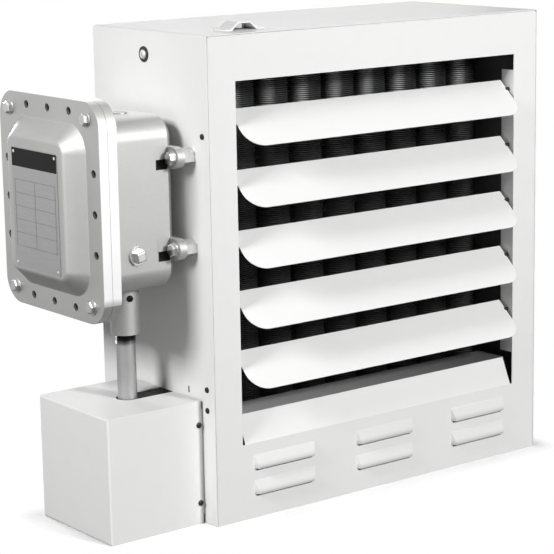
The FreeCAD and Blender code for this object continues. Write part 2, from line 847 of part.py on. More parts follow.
def contactor():
    """Contactor with arc-chute ribs on its face."""
    shape = inner_block(contactor_size, contactor_place)
    box = shape.BoundBox
    pitch = contactor_size[1] / contactor_rib_count
    for n in range(contactor_rib_count):
        y = box.YMin + (n + 0.5) * pitch
        groove = block((box.XMin, box.XMin + contactor_rib), (y - contactor_rib, y + contactor_rib),
                       (box.ZMin, box.ZMax))
        shape = shape.cut(groove)
    return shape


def transformer():
    """Laminated core with the winding standing proud in its middle."""
    shape = inner_block(transformer_size, transformer_place)
    box = shape.BoundBox
    depth = transformer_size[0] * (1 - transformer_core_share)
    lean = transformer_size[2] * (1 - transformer_core_share) / 2
    for z_range in ((box.ZMin, box.ZMin + lean), (box.ZMax - lean, box.ZMax)):
        shape = shape.cut(block((box.XMin, box.XMin + depth), (box.YMin, box.YMax), z_range))
    return shape


def terminal_block():
    """Rail of terminals parted by slots."""
    shape = inner_block(block_size, block_place)
    box = shape.BoundBox
    pitch = block_size[2] / block_ways
    for n in range(block_ways):
        z = box.ZMin + (n + 0.5) * pitch
        shape = shape.cut(block((box.XMin, box.XMin + block_slot), (box.YMin, box.YMax),
                                (z - block_slot, z + block_slot)))
    return shape


# Fan, motor and guard
def motor_axis_point(y):
    return point(0, y, fan_centre_z)


def fan_blade():
    """Rolled sheet blade: an arc section swept outwards, trimmed to a flared outline with round tips."""
    pitch = math.radians(fan_pitch)
    along = point(math.cos(pitch), math.sin(pitch), 0)
    across = point(-math.sin(pitch), math.cos(pitch), 0)
    middle = motor_axis_point((fan_front_y + fan_back_y) / 2)
    half = along * (fan_tip_chord / 2)
    crown = across * (fan_tip_chord * fan_camber_share)
    skin = across * fan_sheet
    lower = Part.Arc(middle - half, middle + crown, middle + half).toShape()
    upper = Part.Arc(middle + half + skin, middle + crown + skin, middle - half + skin).toShape()
    section = Part.Wire([lower, Part.makeLine(middle + half, middle + half + skin), upper,
                         Part.makeLine(middle - half + skin, middle - half)])
    sheet_metal = Part.Face(section).extrude(AXIS_Z * fan_tip_radius)
    reach = fan_tip_chord
    outline = [middle + along * (u / 2) + AXIS_Z * v - across * reach
               for u, v in ((-fan_root_chord, 0), (fan_root_chord, 0), (fan_tip_chord, fan_tip_radius),
                            (-fan_tip_chord, fan_tip_radius))]
    trim = prism(outline, across * (2 * reach))
    tips = [e for e in trim.Edges if all(near(v.Z, fan_centre_z + fan_tip_radius) for v in e.Vertexes)
            and near(e.Length, 2 * reach)]
    return sheet_metal.common(trim.makeFillet(fan_corner, tips))


def fan():
    """Hub with rolled blades, bored for the shaft."""
    start = motor_axis_point(fan_front_y)
    shape = rod(fan_hub_radius, start, AXIS_Y, fan_hub_length)
    blade = fan_blade()
    for n in range(fan_blades):
        turned = blade.copy()
        turned.rotate(start, AXIS_Y, 360 * n / fan_blades)
        shape = shape.fuse(turned)
    return shape.cut(rod(shaft_radius + thread_clearance, start, AXIS_Y, fan_hub_length))


def motor_shaft():
    start = fan_front_y - shaft_nose
    return rod(shaft_radius, motor_axis_point(start), AXIS_Y, motor_back_y - bell_length - start)


def motor_frame():
    """Closed frame of the motor, bored for the shaft."""
    length = motor_length - 2 * bell_length
    start = motor_axis_point(motor_front_y + bell_length)
    return ring(motor_radius, shaft_radius + running_clearance, start, AXIS_Y, length)


def front_bell():
    """End bell towards the fan, with the shaft's journal."""
    start = motor_axis_point(motor_front_y)
    return ring(motor_radius - bell_step, shaft_radius + running_clearance, start, AXIS_Y, bell_length)


def rear_bell():
    """Closed end bell with a bearing boss."""
    bell = rod(motor_radius - bell_step, motor_axis_point(motor_back_y), -AXIS_Y, bell_length)
    return bell.fuse(rod(bell_boss_radius, motor_axis_point(motor_back_y), AXIS_Y, bell_boss_length))


def motor_box():
    """Terminal box on top of the motor, cut to the frame."""
    y = (motor_front_y + motor_back_y) / 2
    half_length = motor_box_length / 2
    half = motor_box_width / 2
    top = fan_centre_z + motor_radius + motor_box_height
    shape = block((-half, half), (y - half_length, y + half_length), (fan_centre_z, top - motor_box_lid))
    return shape.cut(rod(motor_radius + thread_clearance, motor_axis_point(motor_front_y), AXIS_Y, motor_length))


def motor_box_cover():
    y = (motor_front_y + motor_back_y) / 2
    half_length = motor_box_length / 2
    half = motor_box_width / 2
    top = fan_centre_z + motor_radius + motor_box_height
    lid = block((-half, half), (y - half_length, y + half_length), (top - motor_box_lid, top))
    upright = [e for e in lid.Edges if near(e.Vertexes[0].X, e.Vertexes[1].X) and near(
        e.Vertexes[0].Y, e.Vertexes[1].Y)]
    return lid.makeFillet(bend_radius, upright)


def motor_spider():
    """Ring on the motor's face with four arms that fold forward to feet on the rear panel."""
    plate_y = motor_front_y - spider_thickness
    shape = rod(motor_radius - bell_step, motor_axis_point(plate_y), AXIS_Y, spider_thickness)
    half = spider_arm_width / 2
    for n in range(4):
        arm = block((-half, half), (plate_y, motor_front_y), (fan_centre_z, fan_centre_z + spider_reach))
        leg = block((-half, half), (back, motor_front_y),
                    (fan_centre_z + spider_reach - spider_thickness, fan_centre_z + spider_reach))
        foot = block((-half, half), (back, back + spider_thickness),
                     (fan_centre_z + spider_reach - spider_thickness, fan_centre_z + spider_reach + spider_foot))
        limb = arm.fuse(leg).fuse(foot)
        limb.rotate(motor_axis_point(0), AXIS_Y, 45 + 90 * n)
        shape = shape.fuse(limb)
    return shape.cut(rod(bell_boss_radius, motor_axis_point(plate_y), AXIS_Y, spider_thickness)).removeSplitter()


def guard_ring(radius):
    """Wire ring of short straight sides."""
    wire_y = back + guard_stand_off

    def loop(reach):
        turns = [2 * math.pi * n / guard_ring_sides for n in range(guard_ring_sides)]
        corners = [motor_axis_point(wire_y) + point(math.cos(t), 0, math.sin(t)) * reach for t in turns]
        return prism(corners, AXIS_Y * guard_wire)

    return loop(radius).cut(loop(radius - guard_wire))


def fan_guard():
    """Flat wire guard: rings joined by spokes that turn down to the rear panel."""
    wire_y = back + guard_stand_off
    step = (guard_outer_radius - guard_inner_radius) / (guard_rings - 1)
    shape = guard_ring(guard_inner_radius)
    for n in range(1, guard_rings):
        shape = shape.fuse(guard_ring(guard_inner_radius + n * step))
    half = guard_wire / 2
    for n in range(guard_spokes):
        spoke = block((-half, half), (wire_y - guard_wire, wire_y),
                      (fan_centre_z + guard_inner_radius - guard_wire, fan_centre_z + guard_outer_radius))
        leg = block((-half, half), (back, wire_y),
                    (fan_centre_z + guard_outer_radius - guard_wire, fan_centre_z + guard_outer_radius))
        limb = spoke.fuse(leg)
        limb.rotate(motor_axis_point(0), AXIS_Y, 360 * (n + 0.5) / guard_spokes)
        shape = shape.fuse(limb)
    return shape.removeSplitter()


PIECES = {
    "cabinet": cabinet,
    "hanger_hood": hanger_hood,
    "hanger_nut": hanger_nut,
    "front_panel": front_panel,
    "bottom_pan": bottom_pan,
    "rear_panel": rear_panel,
    "louvre_strip_left": lambda: louvre_strip(-1),
    "louvre_strip_right": lambda: louvre_strip(1),
    "top_header": top_header,
    "bottom_header": bottom_header,
    "core_tubes": core_tubes,
    "core_saddles": core_saddles,
    "core_brackets": core_brackets,
    "core_bolts": core_bolts,
    "heating_elements": heating_elements,
    "element_flange": element_flange,
    "terminal_housing": terminal_housing,
    "terminal_cap": terminal_cap,
    "terminal_cover": terminal_cover,
    "cover_angles": cover_angles,
    "enclosure_body": enclosure_body,
    "enclosure_cover": enclosure_cover,
    "corner_bolts": corner_bolts,
    "lug_bolts": lug_bolts,
    "standoffs": standoffs,
    "conduit": conduit,
    "side_plug": side_plug,
    "top_plug": top_plug,
    "rating_plate": rating_plate,
    "subplate": subplate,
    "contactor": contactor,
    "transformer": transformer,
    "terminal_block": terminal_block,
    "fan": fan,
    "motor_shaft": motor_shaft,
    "motor_frame": motor_frame,
    "front_bell": front_bell,
    "rear_bell": rear_bell,
    "motor_box": motor_box,
    "motor_box_cover": motor_box_cover,
    "motor_spider": motor_spider,
    "fan_guard": fan_guard,
}
for number, height in enumerate(pivot_heights, 1):
    PIECES["louvre_%d" % number] = lambda height=height: louvre(height)

os.makedirs("parts", exist_ok=True)
for name, make in PIECES.items():
    make().exportStep("parts/%s.step" % name)
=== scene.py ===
import json
import math

import bpy
from mathutils import Matrix, Vector

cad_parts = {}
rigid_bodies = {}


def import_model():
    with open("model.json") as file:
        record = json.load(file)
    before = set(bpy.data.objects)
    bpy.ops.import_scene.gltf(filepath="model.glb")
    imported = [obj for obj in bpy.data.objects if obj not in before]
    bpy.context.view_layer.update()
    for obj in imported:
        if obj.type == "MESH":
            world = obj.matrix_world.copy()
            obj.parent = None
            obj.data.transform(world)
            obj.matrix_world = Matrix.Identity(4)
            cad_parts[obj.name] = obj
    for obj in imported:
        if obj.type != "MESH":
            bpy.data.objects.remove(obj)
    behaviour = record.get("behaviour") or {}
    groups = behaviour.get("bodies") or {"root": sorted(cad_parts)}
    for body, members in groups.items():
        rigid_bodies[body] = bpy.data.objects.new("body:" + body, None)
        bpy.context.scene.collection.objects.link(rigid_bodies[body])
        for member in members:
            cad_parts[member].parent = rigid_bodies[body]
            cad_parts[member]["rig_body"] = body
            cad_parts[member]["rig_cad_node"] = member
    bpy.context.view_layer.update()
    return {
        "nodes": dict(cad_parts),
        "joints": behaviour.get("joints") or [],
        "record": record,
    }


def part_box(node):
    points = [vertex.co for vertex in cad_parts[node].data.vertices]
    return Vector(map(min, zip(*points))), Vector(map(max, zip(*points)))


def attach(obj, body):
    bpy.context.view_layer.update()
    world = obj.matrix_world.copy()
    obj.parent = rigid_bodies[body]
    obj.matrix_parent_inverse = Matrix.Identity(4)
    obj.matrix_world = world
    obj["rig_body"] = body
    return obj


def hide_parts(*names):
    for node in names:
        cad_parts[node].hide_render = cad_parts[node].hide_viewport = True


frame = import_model()
nodes = frame["nodes"]
record = frame["record"]
SLOT_OF_NODE = {part["node"]: part["material_slot"] for part in record["subparts"]}
BODY_OF_NODE = {node: body for body, names in record["behaviour"]["bodies"].items() for node in names}

# Sizes and places are in metres, angles in degrees.
AXIS_X = Vector((1, 0, 0))
AXIS_Y = Vector((0, 1, 0))
AXIS_Z = Vector((0, 0, 1))
SMALLEST = 0.00001
FAR_OUT = 6.0
PLACE_DIGITS = 5
LEVEL_DIGITS = 4
HEXAGON = 6
SQUARE = 4

# Camera
CAMERA_PLACE = Vector((-1.7750, -2.2170, 0.8654))
CAMERA_HEADING = 37.33
CAMERA_DROP = 11.66
CAMERA_ROLL = -1.00
CAMERA_LEVEL = 90.0
CAMERA_LENS = 131.2
CAMERA_SENSOR = 36.0

# Edges and shading
MERGE_WITHIN = 0.00002
FLAT_WITHIN = 0.4
EDGE_ANGLE = 40.0
EDGE_STEPS = 2
SHEET_EDGE = 0.0004
BLADE_EDGE = 0.0003
CAST_EDGE = 0.0009
MACHINED_EDGE = 0.0004
SHADE_ANGLE = 32.0
COPY_SHADE_ANGLE = 38.0
PANEL_SHADE_ANGLE = 18.0

# Vent gaps under the hoods
VENT_COLUMNS = (-0.1775, 0.0, 0.1775)
VENT_EDGES = (0.0330, 0.0685)
VENT_HALF = 0.0475
VENT_GAP = 0.0034
VENT_DEPTH = 0.003
VENT_HOOD_REACH = 0.0065
VENT_SKIN = 0.0002
VENT_LIP = (0.001, 0.008)
# Darkening of the vent hoods, with painted shade along their lips
HOOD_DARKEN_SHARE = 0.12
LIP_SHADE_SHARE = 0.35
HOOD_SHADE_TONE = 0.25

# Louvre blades
BLADE_CHORD = 0.066
BLADE_SHEET = 0.0012
BLADE_TILT = 42.0
BLADE_CORNER = 0.027
BLADE_CORNER_STEPS = 12
PIVOT_FROM_INNER = 0.0175
LOUVRE_PIN_OVERHANG = 0.0085
LOUVRE_PIN_ROOT = 0.002
LOUVRE_PIN_RADIUS = 0.0025
LOUVRE_PIN_SIDES = 20

# Core fins
TUBE_COUNT = 9
FIN_SIDES = 20
FIN_ROOM = 0.0002
FIN_REACH = 0.0155
FIN_SHEET = 0.0010
FIN_PITCH = 0.0028
FIN_START = 0.008
FIN_END_GAP = 0.012
CORE_WASHER_RADIUS = 0.0105
CORE_WASHER_HEIGHT = 0.0012
CORE_BOLT_SPIN = 25.0

# Painted highlight lines on the fins
STREAK_SHIFT = -0.0155
STREAK_HEIGHTS = (0.46, 0.56)
STREAK_CORE = 0.0015
STREAK_EDGE = 0.0095
STREAK_SHARE = 0.45
STREAK_UNEVEN = 0.9
STREAK_TONE = 0.60

# Shelf behind the sill
SHELF_HALF = 0.2455
SHELF_FRONT = -0.1160
SHELF_BACK = -0.0640
SHELF_TOP = 0.1418
SHELF_SHEET = 0.0012
SHELF_FOLD = 0.006
# Painted shade, darker towards the shelf's right end
SHELF_SHADE_SHARE = 0.85
SHELF_SHADE_TONE = 0.04

# Bolts, screws and plugs
TURNED_SIDES = 36
WASHER_THICKNESS = 0.0014
WASHER_OVER = 0.0020
HEX_CHAMFER = 0.0012
CHAMFER_RUN = 1.5
CORNER_BOLT_SPINS = (12.0, 40.0, 3.0, 25.0)
LUG_BOLT_SPINS = (20.0, 50.0, 8.0, 33.0)
STANDOFF_SPIN = 90.0
JOINT_ROW_INSET = 0.016
JOINT_PITCH = 0.052
JOINT_ROW_SPIN = 17.0
JOINT_SIDE_SPIN = 40.0
PAN_RISE = 0.022
SCREW_SINK = 0.009
SOCKET_HEAD_RADIUS = 0.0046
SOCKET_HEAD_HEIGHT = 0.0062
SOCKET_FLATS = 0.0045
SOCKET_DEPTH = 0.0032
DOME_PROFILE = ((1.0, 0.0), (1.0, 0.40), (0.92, 0.70), (0.70, 0.92), (0.35, 1.0))
SLOT_DEPTH_SHARE = 0.45
SLOT_WIDTH_SHARE = 0.32
SHEET_SCREW_RADIUS = 0.0039
SHEET_SCREW_HEIGHT = 0.0022
WALL_SCREWS = ((-0.1200, 0.5204), (-0.1170, 0.1850), (-0.1170, 0.1569), (0.1180, 0.5204), (0.1180, 0.0900))
WALL_SCREW_SPIN = 35.0
COVER_SCREW_HEIGHTS = (0.0293, 0.1364)
COVER_SCREW_FROM_WALL = 0.0047
COVER_SCREW_SPIN = 50.0
COVER_SCREW_FIRST_SPIN = 20.0
WALL_MARK = (-0.0750, 0.1782)
WALL_MARK_SIZE = (0.0024, 0.0085)
WALL_MARK_HEIGHT = 0.0003
PLUG_COLLAR_HEIGHT = 0.003
PLUG_HEAD_FLATS = 0.014
PLUG_CHAMFER = 0.0016
PLUG_HEAD_SPIN = 45.0
PLUG_SPIN = 12.0

# Conduit
THREAD_RIDGES = 8
THREAD_PITCH = 0.0018
THREAD_DEPTH = 0.0007
CONDUIT_BORE_RADIUS = 0.01045
THREAD_DARK = 0.011
THREAD_FADE = 0.019
THREAD_RAGGED = 0.006
THREAD_TONE = 0.02
HUB_RADIUS = 0.0195
HUB_SCREW_RADIUS = 0.0046
HUB_SCREW_HEIGHT = 0.0030
HUB_SCREW_SINK = 0.0012
HUB_SCREW_RISE = 0.0495
HUB_SCREW_WAY = (-0.196, -0.981, 0.0)
# Black sheet under the terminal cover's slot, painted shade in the slot
SHADE_SHEET_THICKNESS = 0.0014
SHADE_SHEET_GAP = 0.0001
SHADE_SHEET_HALF = 0.020
SHADE_SHEET_LEFT = 0.022
COVER_SHEET = 0.0015

# Plate on the cover
PLATE_BASE_SHARE = 0.6
PLATE_INK_SHARE = 0.16
PLATE_ROUND = 0.0025
PLATE_ROUND_STEPS = 4
PLATE_MARGIN = 0.0008
RULE_MARGIN = 0.006
BAND_HEIGHT = 0.024
RULE_COUNT = 6
RULE_WIDTH = 0.0009
RULE_PITCH = 0.0175
PLATE_PIN_RADIUS = 0.0021
PLATE_PIN_SIDES = 16
PLATE_PIN_INSET = 0.0055

# Guard, motor and spider
GUARD_RINGS = 6
GUARD_SPOKES = 8
GUARD_INNER_SHARE = 0.44
GUARD_WIRE = 0.004
GUARD_RING_STEPS = 72
WIRE_SIDES = 10
WIRE_BEND = 0.008
RIB_SIDES = 96
RIB_EVERY = 4
RIB_DEPTH = 0.005
RIB_DRAFT = 0.0004
SIDE_FACE_SLOPE = 0.5
BELL_SIDES = 64
FRONT_BELL_PROFILE = ((0.80, 0.0), (0.92, 0.10), (0.98, 0.30), (1.0, 0.55), (1.0, 1.0))
REAR_BELL_PROFILE = ((1.0, 0.0), (1.0, 0.45), (0.97, 0.65), (0.88, 0.85), (0.72, 0.97))
BOSS_SHARE = 0.47
BOSS_CHAMFER_SHARE = 0.08
BOLT_RING_ANGLES = (45.0, 135.0, 225.0, 315.0)
THROUGH_BOLT_REACH = 0.058
THROUGH_BOLT_FLATS = 0.010
THROUGH_BOLT_HEIGHT = 0.006
THROUGH_BOLT_SEAT_SHARE = 0.80
THROUGH_BOLT_SINK_SHARE = 0.1
THROUGH_BOLT_SPIN = 20.0
FOOT_BOLT_FLATS = 0.013
FOOT_BOLT_HEIGHT = 0.0065
FOOT_BOLT_REACH = 0.243
FOOT_BOLT_SPIN = 33.0
SPIDER_THICKNESS = 0.005
LID_SCREW_INSET = 0.008
LID_SCREW_SPIN_PER_METRE = 900.0

# Cabinet and enclosure finishes
CABINET_SKIN = 0.00145
# Painted shade inside the cabinet
INSIDE_SHADE_TONE = 0.12
# Level tops blend towards a mid grey: painted shade on pale paint, painted light on dark paint
LEVEL_TOP_SLOPE = (0.85, 0.98)
LEVEL_TOP_SHARE = 0.35
LEVEL_TOP_TONE = 0.45
# Painted highlight on level cast tops
CAST_TOP_HIGHLIGHT_SHARE = 0.70
CAST_TOP_HIGHLIGHT_TONE = 0.85
# Painted highlight on the enclosure's flange rims
RIM_HIGHLIGHT_SKIN = 0.0012
RIM_HIGHLIGHT_TONE = 0.74
POCKET_LENGTH = 0.0185
POCKET_SKIN = 0.0004
POCKET_RADIUS = 0.0175
# Painted shade in the lug pockets
POCKET_SHADE_TONE = 0.05
BODY_HALF = 0.093

# Webs over the lug pockets
WEB_DROP = 0.002
WEB_RISE = 0.0154
WEB_DEPTH = 0.0082
WEB_GAP = 0.0002

# Stage
FLOOR_HALF = 6.0
FLOOR_FADE = (0.004, 0.034)
FLOOR_MIRROR_FADE = (0.7, 1.6)
FLOOR_SEEN = 0.94
FLOOR_BOUNCE = 0.18
WORLD_LIGHT = 0.10

# Lamps: place, point that they face, size, power in watts
LAMPS = {
    "left_key": ((-2.80, -0.45, 1.75), (-0.3, 0, 0.35), 0.75, 70.0),
    "front_soft": ((0.6, -3.2, 1.65), (0, 0, 0.35), 0.55, 100.0),
    "rear_fill": ((1.8, 3.0, 0.80), (0, 0, 0.35), 2.0, 32.0),
    "rear_soft": ((0.0, 3.4, 0.95), (0, 0.1, 0.35), 0.4, 45.0),
}


class Value:
    """One output of some nodes, so that shader sums are written as sums."""

    def __init__(self, wiring, out):
        self.wiring = wiring
        self.out = out

    def __add__(self, other):
        return self.wiring.maths("ADD", self, other)

    __radd__ = __add__

    def __sub__(self, other):
        return self.wiring.maths("SUBTRACT", self, other)

    def __rsub__(self, other):
        return self.wiring.maths("SUBTRACT", other, self)

    def __mul__(self, other):
        return self.wiring.maths("MULTIPLY", self, other)

    __rmul__ = __mul__


class Wiring:
    """The nodes of a material or of the world."""

    def __init__(self, owner):
        owner.use_nodes = True
        self.tree = owner.node_tree

    def node(self, kind, settings=None, sockets=None, output=0):
        made = self.tree.nodes.new("ShaderNode" + kind)
        for key, setting in (settings or {}).items():
            if key == "stops":
                ramp = made.color_ramp.elements
                while len(ramp) < len(setting):
                    ramp.new(1.0)
                for stop, (position, shade) in zip(ramp, setting):
                    stop.position = position
                    stop.color = tone(shade)
            else:
                setattr(made, key, setting)
        for key, given in (sockets or {}).items():
            self.feed(made.inputs[key], given)
        return Value(self, made.outputs[output])

    def feed(self, socket, given):
        if isinstance(given, Value):
            self.tree.links.new(given.out, socket)
        else:
            socket.default_value = given

    def maths(self, operation, first, second):
        return self.node("Math", {"operation": operation}, {0: first, 1: second})

    def rays(self):
        """Three values that are 1 for rays from the camera, mirrored rays and rays through glass."""
        kinds = ("Camera", "Glossy", "Transmission")
        return [self.node("LightPath", output="Is %s Ray" % kind) for kind in kinds]

    def show(self, share, first, second, output):
        """Mix two shaders and send them to an output node."""
        mixed = self.node("MixShader", {}, {0: share, 1: first, 2: second})
        self.tree.links.new(mixed.out, self.tree.nodes[output].inputs["Surface"])


class Finish(Wiring):
    """A material worked out by nodes; fixed numbers go straight to the shader's sockets."""

    def __init__(self, name, **fixed):
        self.material = bpy.data.materials.new(name)
        super().__init__(self.material)
        self.shader = self.tree.nodes["Principled BSDF"]
        for socket, number in fixed.items():
            self.shader.inputs[socket.replace("_", " ")].default_value = number

    def set(self, socket, given):
        self.feed(self.shader.inputs[socket], given)

    def place(self):
        return self.node("TexCoord", output="Object")

    def stretched(self, scale):
        return self.node("Mapping", sockets={"Vector": self.place(), "Scale": scale})

    def noise(self, scale, detail=3.0, coords=None):
        sockets = {"Vector": coords or self.place(), "Scale": scale, "Detail": detail}
        return self.node("TexNoise", sockets=sockets)

    def ramp(self, factor, *stops):
        return self.node("ValToRGB", {"stops": stops}, {"Fac": factor})

    def blend(self, factor, first, second):
        return self.node("Mix", {"data_type": "RGBA"}, {0: factor, 6: first, 7: second}, 2)

    def coordinate(self, axis):
        return self.node("SeparateXYZ", sockets={"Vector": self.place()}, output=axis)

    def vector(self, operation, first, second=None, output=0):
        sockets = {0: first} if second is None else {0: first, 1: second}
        return self.node("VectorMath", {"operation": operation}, sockets, output)

    def fade(self, value, near, far, start=0.0, end=1.0):
        """Goes from start to end while a value goes from near to far."""
        return self.node("MapRange", {}, {"Value": value, "From Min": near, "From Max": far,
                                          "To Min": start, "To Max": end})

    def outside(self, low, high):
        """Distance from a box to each point around it."""
        low = Vector(low)
        high = Vector(high)
        reach = self.vector("ABSOLUTE", self.vector("SUBTRACT", self.place(), (low + high) / 2))
        over = self.vector("MAXIMUM", self.vector("SUBTRACT", reach, (high - low) / 2), (0.0, 0.0, 0.0))
        return self.vector("LENGTH", over, output="Value")

    def within(self, low, high):
        """1 inside a box, 0 outside it."""
        return self.maths("LESS_THAN", self.outside(low, high), SMALLEST)

    def upward(self):
        """1 on level tops, 0 on slopes and walls; carries painted light and shade on tops."""
        normal = self.node("TexCoord", output="Normal")
        rise = self.node("SeparateXYZ", sockets={"Vector": normal}, output="Z")
        return self.fade(rise, *LEVEL_TOP_SLOPE)

    def bump(self, height, strength, distance):
        sockets = {"Height": height, "Strength": strength, "Distance": distance}
        self.set("Normal", self.node("Bump", sockets=sockets))


def tone(red, green=None, blue=None):
    """Opaque colour, grey if only one number is given."""
    green = red if green is None else green
    return (red, green, red if blue is None else blue, 1.0)


def islands(node):
    """Box (low, high) of each separate solid of a CAD node."""
    mesh = nodes[node].data
    parent = list(range(len(mesh.vertices)))

    def root(index):
        while parent[index] != index:
            parent[index] = parent[parent[index]]
            index = parent[index]
        return index

    seen = {}
    for vertex in mesh.vertices:
        key = tuple(round(c, PLACE_DIGITS) for c in vertex.co)
        parent[root(vertex.index)] = root(seen.setdefault(key, vertex.index))
    for edge in mesh.edges:
        parent[root(edge.vertices[0])] = root(edge.vertices[1])
    groups = {}
    for vertex in mesh.vertices:
        groups.setdefault(root(vertex.index), []).append(vertex.co)
    return [(Vector(map(min, zip(*points))), Vector(map(max, zip(*points)))) for points in groups.values()]


def lug_pockets():
    """One box round the pockets of the upper lugs, and one round those of the lower lugs, for painted shade.
    """
    boxes = []
    seat_x = lug_heads[0][1].x
    half = Vector((0, BODY_HALF - POCKET_SKIN, POCKET_RADIUS))
    for level in sorted({round((low.z + high.z) / 2, LEVEL_DIGITS) for low, high in lug_heads}):
        boxes.append((Vector((seat_x - POCKET_LENGTH, cover_middle.y, level)) - half,
                      Vector((seat_x + POCKET_SKIN, cover_middle.y, level)) + half))
    return boxes


# Places of the CAD pieces
cabinet_low, cabinet_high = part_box("cabinet")
cover_low, cover_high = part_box("enclosure_cover")
cover_middle = (cover_low + cover_high) / 2
lug_heads = islands("lug_bolts")
hub_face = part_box("enclosure_body")[0].z
conduit_low, conduit_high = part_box("conduit")
conduit_radius = (conduit_high.x - conduit_low.x) / 2
conduit_axis = Vector(((conduit_low.x + conduit_high.x) / 2, (conduit_low.y + conduit_high.y) / 2, 0))
tube_low, tube_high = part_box("core_tubes")
tube_radius = (tube_high.y - tube_low.y) / 2
tube_pitch = (tube_high.x - tube_low.x - 2 * tube_radius) / (TUBE_COUNT - 1)
first_tube = tube_low.x + tube_radius


# Finishes
def vent_hood_shade(finish):
    """Share of darkening on the vent hoods, with painted shade along their lips."""
    low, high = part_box("front_panel")
    high.y = low.y + VENT_HOOD_REACH - VENT_SKIN
    first, second = VENT_EDGES
    rise = finish.maths("FLOORED_MODULO", finish.coordinate("Z") - first, second - first)
    lip = finish.fade(rise, *VENT_LIP, start=1.0, end=0.0)
    return finish.within(low, high) * (HOOD_DARKEN_SHARE + LIP_SHADE_SHARE * lip)


def enamel(name, light, dark, peel=0.10, gloss=0.34, shaded_inside=None, hood_shade=None):
    """Sprayed enamel on sheet: drift of colour, orange peel, painted shade on level tops; painted shade
    inside a box, and darkened vent hoods with painted shade along their lips, if given.
    """
    finish = Finish(name, Specular_IOR_Level=0.03)
    drift = finish.noise(scale=4.0, detail=2.0)
    specks = finish.ramp(finish.noise(scale=38.0, detail=6.0), (0.50, 0.0), (0.78, 1.0))
    colour = finish.blend(0.5 * drift + 0.35 * specks, light, dark)
    # Painted shade on level tops of pale paint, painted light on those of dark paint
    colour = finish.blend(LEVEL_TOP_SHARE * finish.upward(), colour, tone(LEVEL_TOP_TONE))
    # Painted shade inside the given box
    if shaded_inside:
        colour = finish.blend(finish.within(*shaded_inside), colour, tone(INSIDE_SHADE_TONE))
    # Darkened vent hoods, with painted shade along their lips
    if hood_shade:
        colour = finish.blend(hood_shade(finish), colour, tone(HOOD_SHADE_TONE))
    finish.set("Base Color", colour)
    finish.set("Roughness", gloss + 0.14 * finish.noise(scale=55.0))
    finish.bump(finish.noise(scale=620.0, detail=2.0), strength=peel, distance=0.0006)
    return finish.material


def casting(name, light, dark, metal, gloss=0.42, highlight_outside=None, shaded_boxes=()):
    """Sand-cast metal, mottled and grainy; if boxes are given, a painted highlight on the rims and on level
    tops, and painted shade in the pockets.
    """
    finish = Finish(name, Metallic=metal)
    mottle = finish.noise(scale=11.0, detail=5.0)
    grain = finish.noise(scale=480.0, detail=3.0)
    colour = finish.blend(0.75 * mottle + 0.25 * grain, light, dark)
    if highlight_outside:
        # Painted highlight on the rims, outside the box
        colour = finish.blend(finish.within(*highlight_outside), tone(RIM_HIGHLIGHT_TONE), colour)
        # Painted highlight on level tops
        colour = finish.blend(CAST_TOP_HIGHLIGHT_SHARE * finish.upward(), colour, tone(CAST_TOP_HIGHLIGHT_TONE))
    # Painted shade in each pocket box
    for box in shaded_boxes:
        colour = finish.blend(finish.within(*box), colour, tone(POCKET_SHADE_TONE))
    finish.set("Base Color", colour)
    finish.set("Roughness", gloss + 0.20 * grain + 0.06 * mottle)
    skin = 0.75 * grain + 0.5 * finish.noise(scale=90.0, detail=2.0)
    finish.bump(skin, strength=0.16, distance=0.0008)
    return finish.material


def plated(name, light, dark, gloss=0.18, metal=1.0):
    """Plated steel: bright, with tool marks and dull patches."""
    finish = Finish(name, Metallic=metal)
    patch = finish.noise(scale=130.0, detail=4.0)
    marks = finish.noise(scale=60.0, detail=2.0, coords=finish.stretched((40.0, 1.0, 1.0)))
    finish.set("Base Color", finish.blend(patch, light, dark))
    finish.set("Roughness", gloss + 0.16 * patch + 0.08 * marks)
    finish.bump(marks, strength=0.08, distance=0.0003)
    return finish.material


def galvanised(name, light, dark, thread_top):
    """Drawn conduit: lengthwise lines, soft zinc spangle, and dark thread compound under the hub."""
    finish = Finish(name, Metallic=0.85)
    spangle = finish.noise(scale=70.0, detail=2.0)
    lines = finish.noise(scale=30.0, detail=3.0, coords=finish.stretched((30.0, 30.0, 1.0)))
    colour = finish.blend(0.5 * spangle + 0.5 * lines, light, dark)
    below = thread_top - finish.coordinate("Z") + THREAD_RAGGED * spangle
    clean = finish.fade(below, THREAD_DARK, THREAD_FADE)
    finish.set("Base Color", finish.blend(clean, tone(THREAD_TONE), colour))
    finish.set("Roughness", 0.32 + 0.16 * spangle)
    finish.bump(lines, strength=0.08, distance=0.0004)
    return finish.material


def heat_paint(name, light, dark, gloss=0.44, shine=0.35, shade_half=None):
    """Heat-proof paint: dull, slightly uneven, with painted shade darkening it towards the right end if its
    half length is given.
    """
    finish = Finish(name, Specular_IOR_Level=shine)
    soot = finish.noise(scale=22.0, detail=5.0)
    colour = finish.blend(soot, light, dark)
    # Painted shade, darker towards the right end
    if shade_half:
        along = finish.fade(finish.coordinate("X"), -shade_half, shade_half)
        colour = finish.blend(SHELF_SHADE_SHARE * along, colour, tone(SHELF_SHADE_TONE))
    finish.set("Base Color", colour)
    finish.set("Roughness", gloss + 0.22 * soot)
    finish.bump(finish.noise(scale=300.0, detail=2.0), strength=0.15, distance=0.0005)
    return finish.material


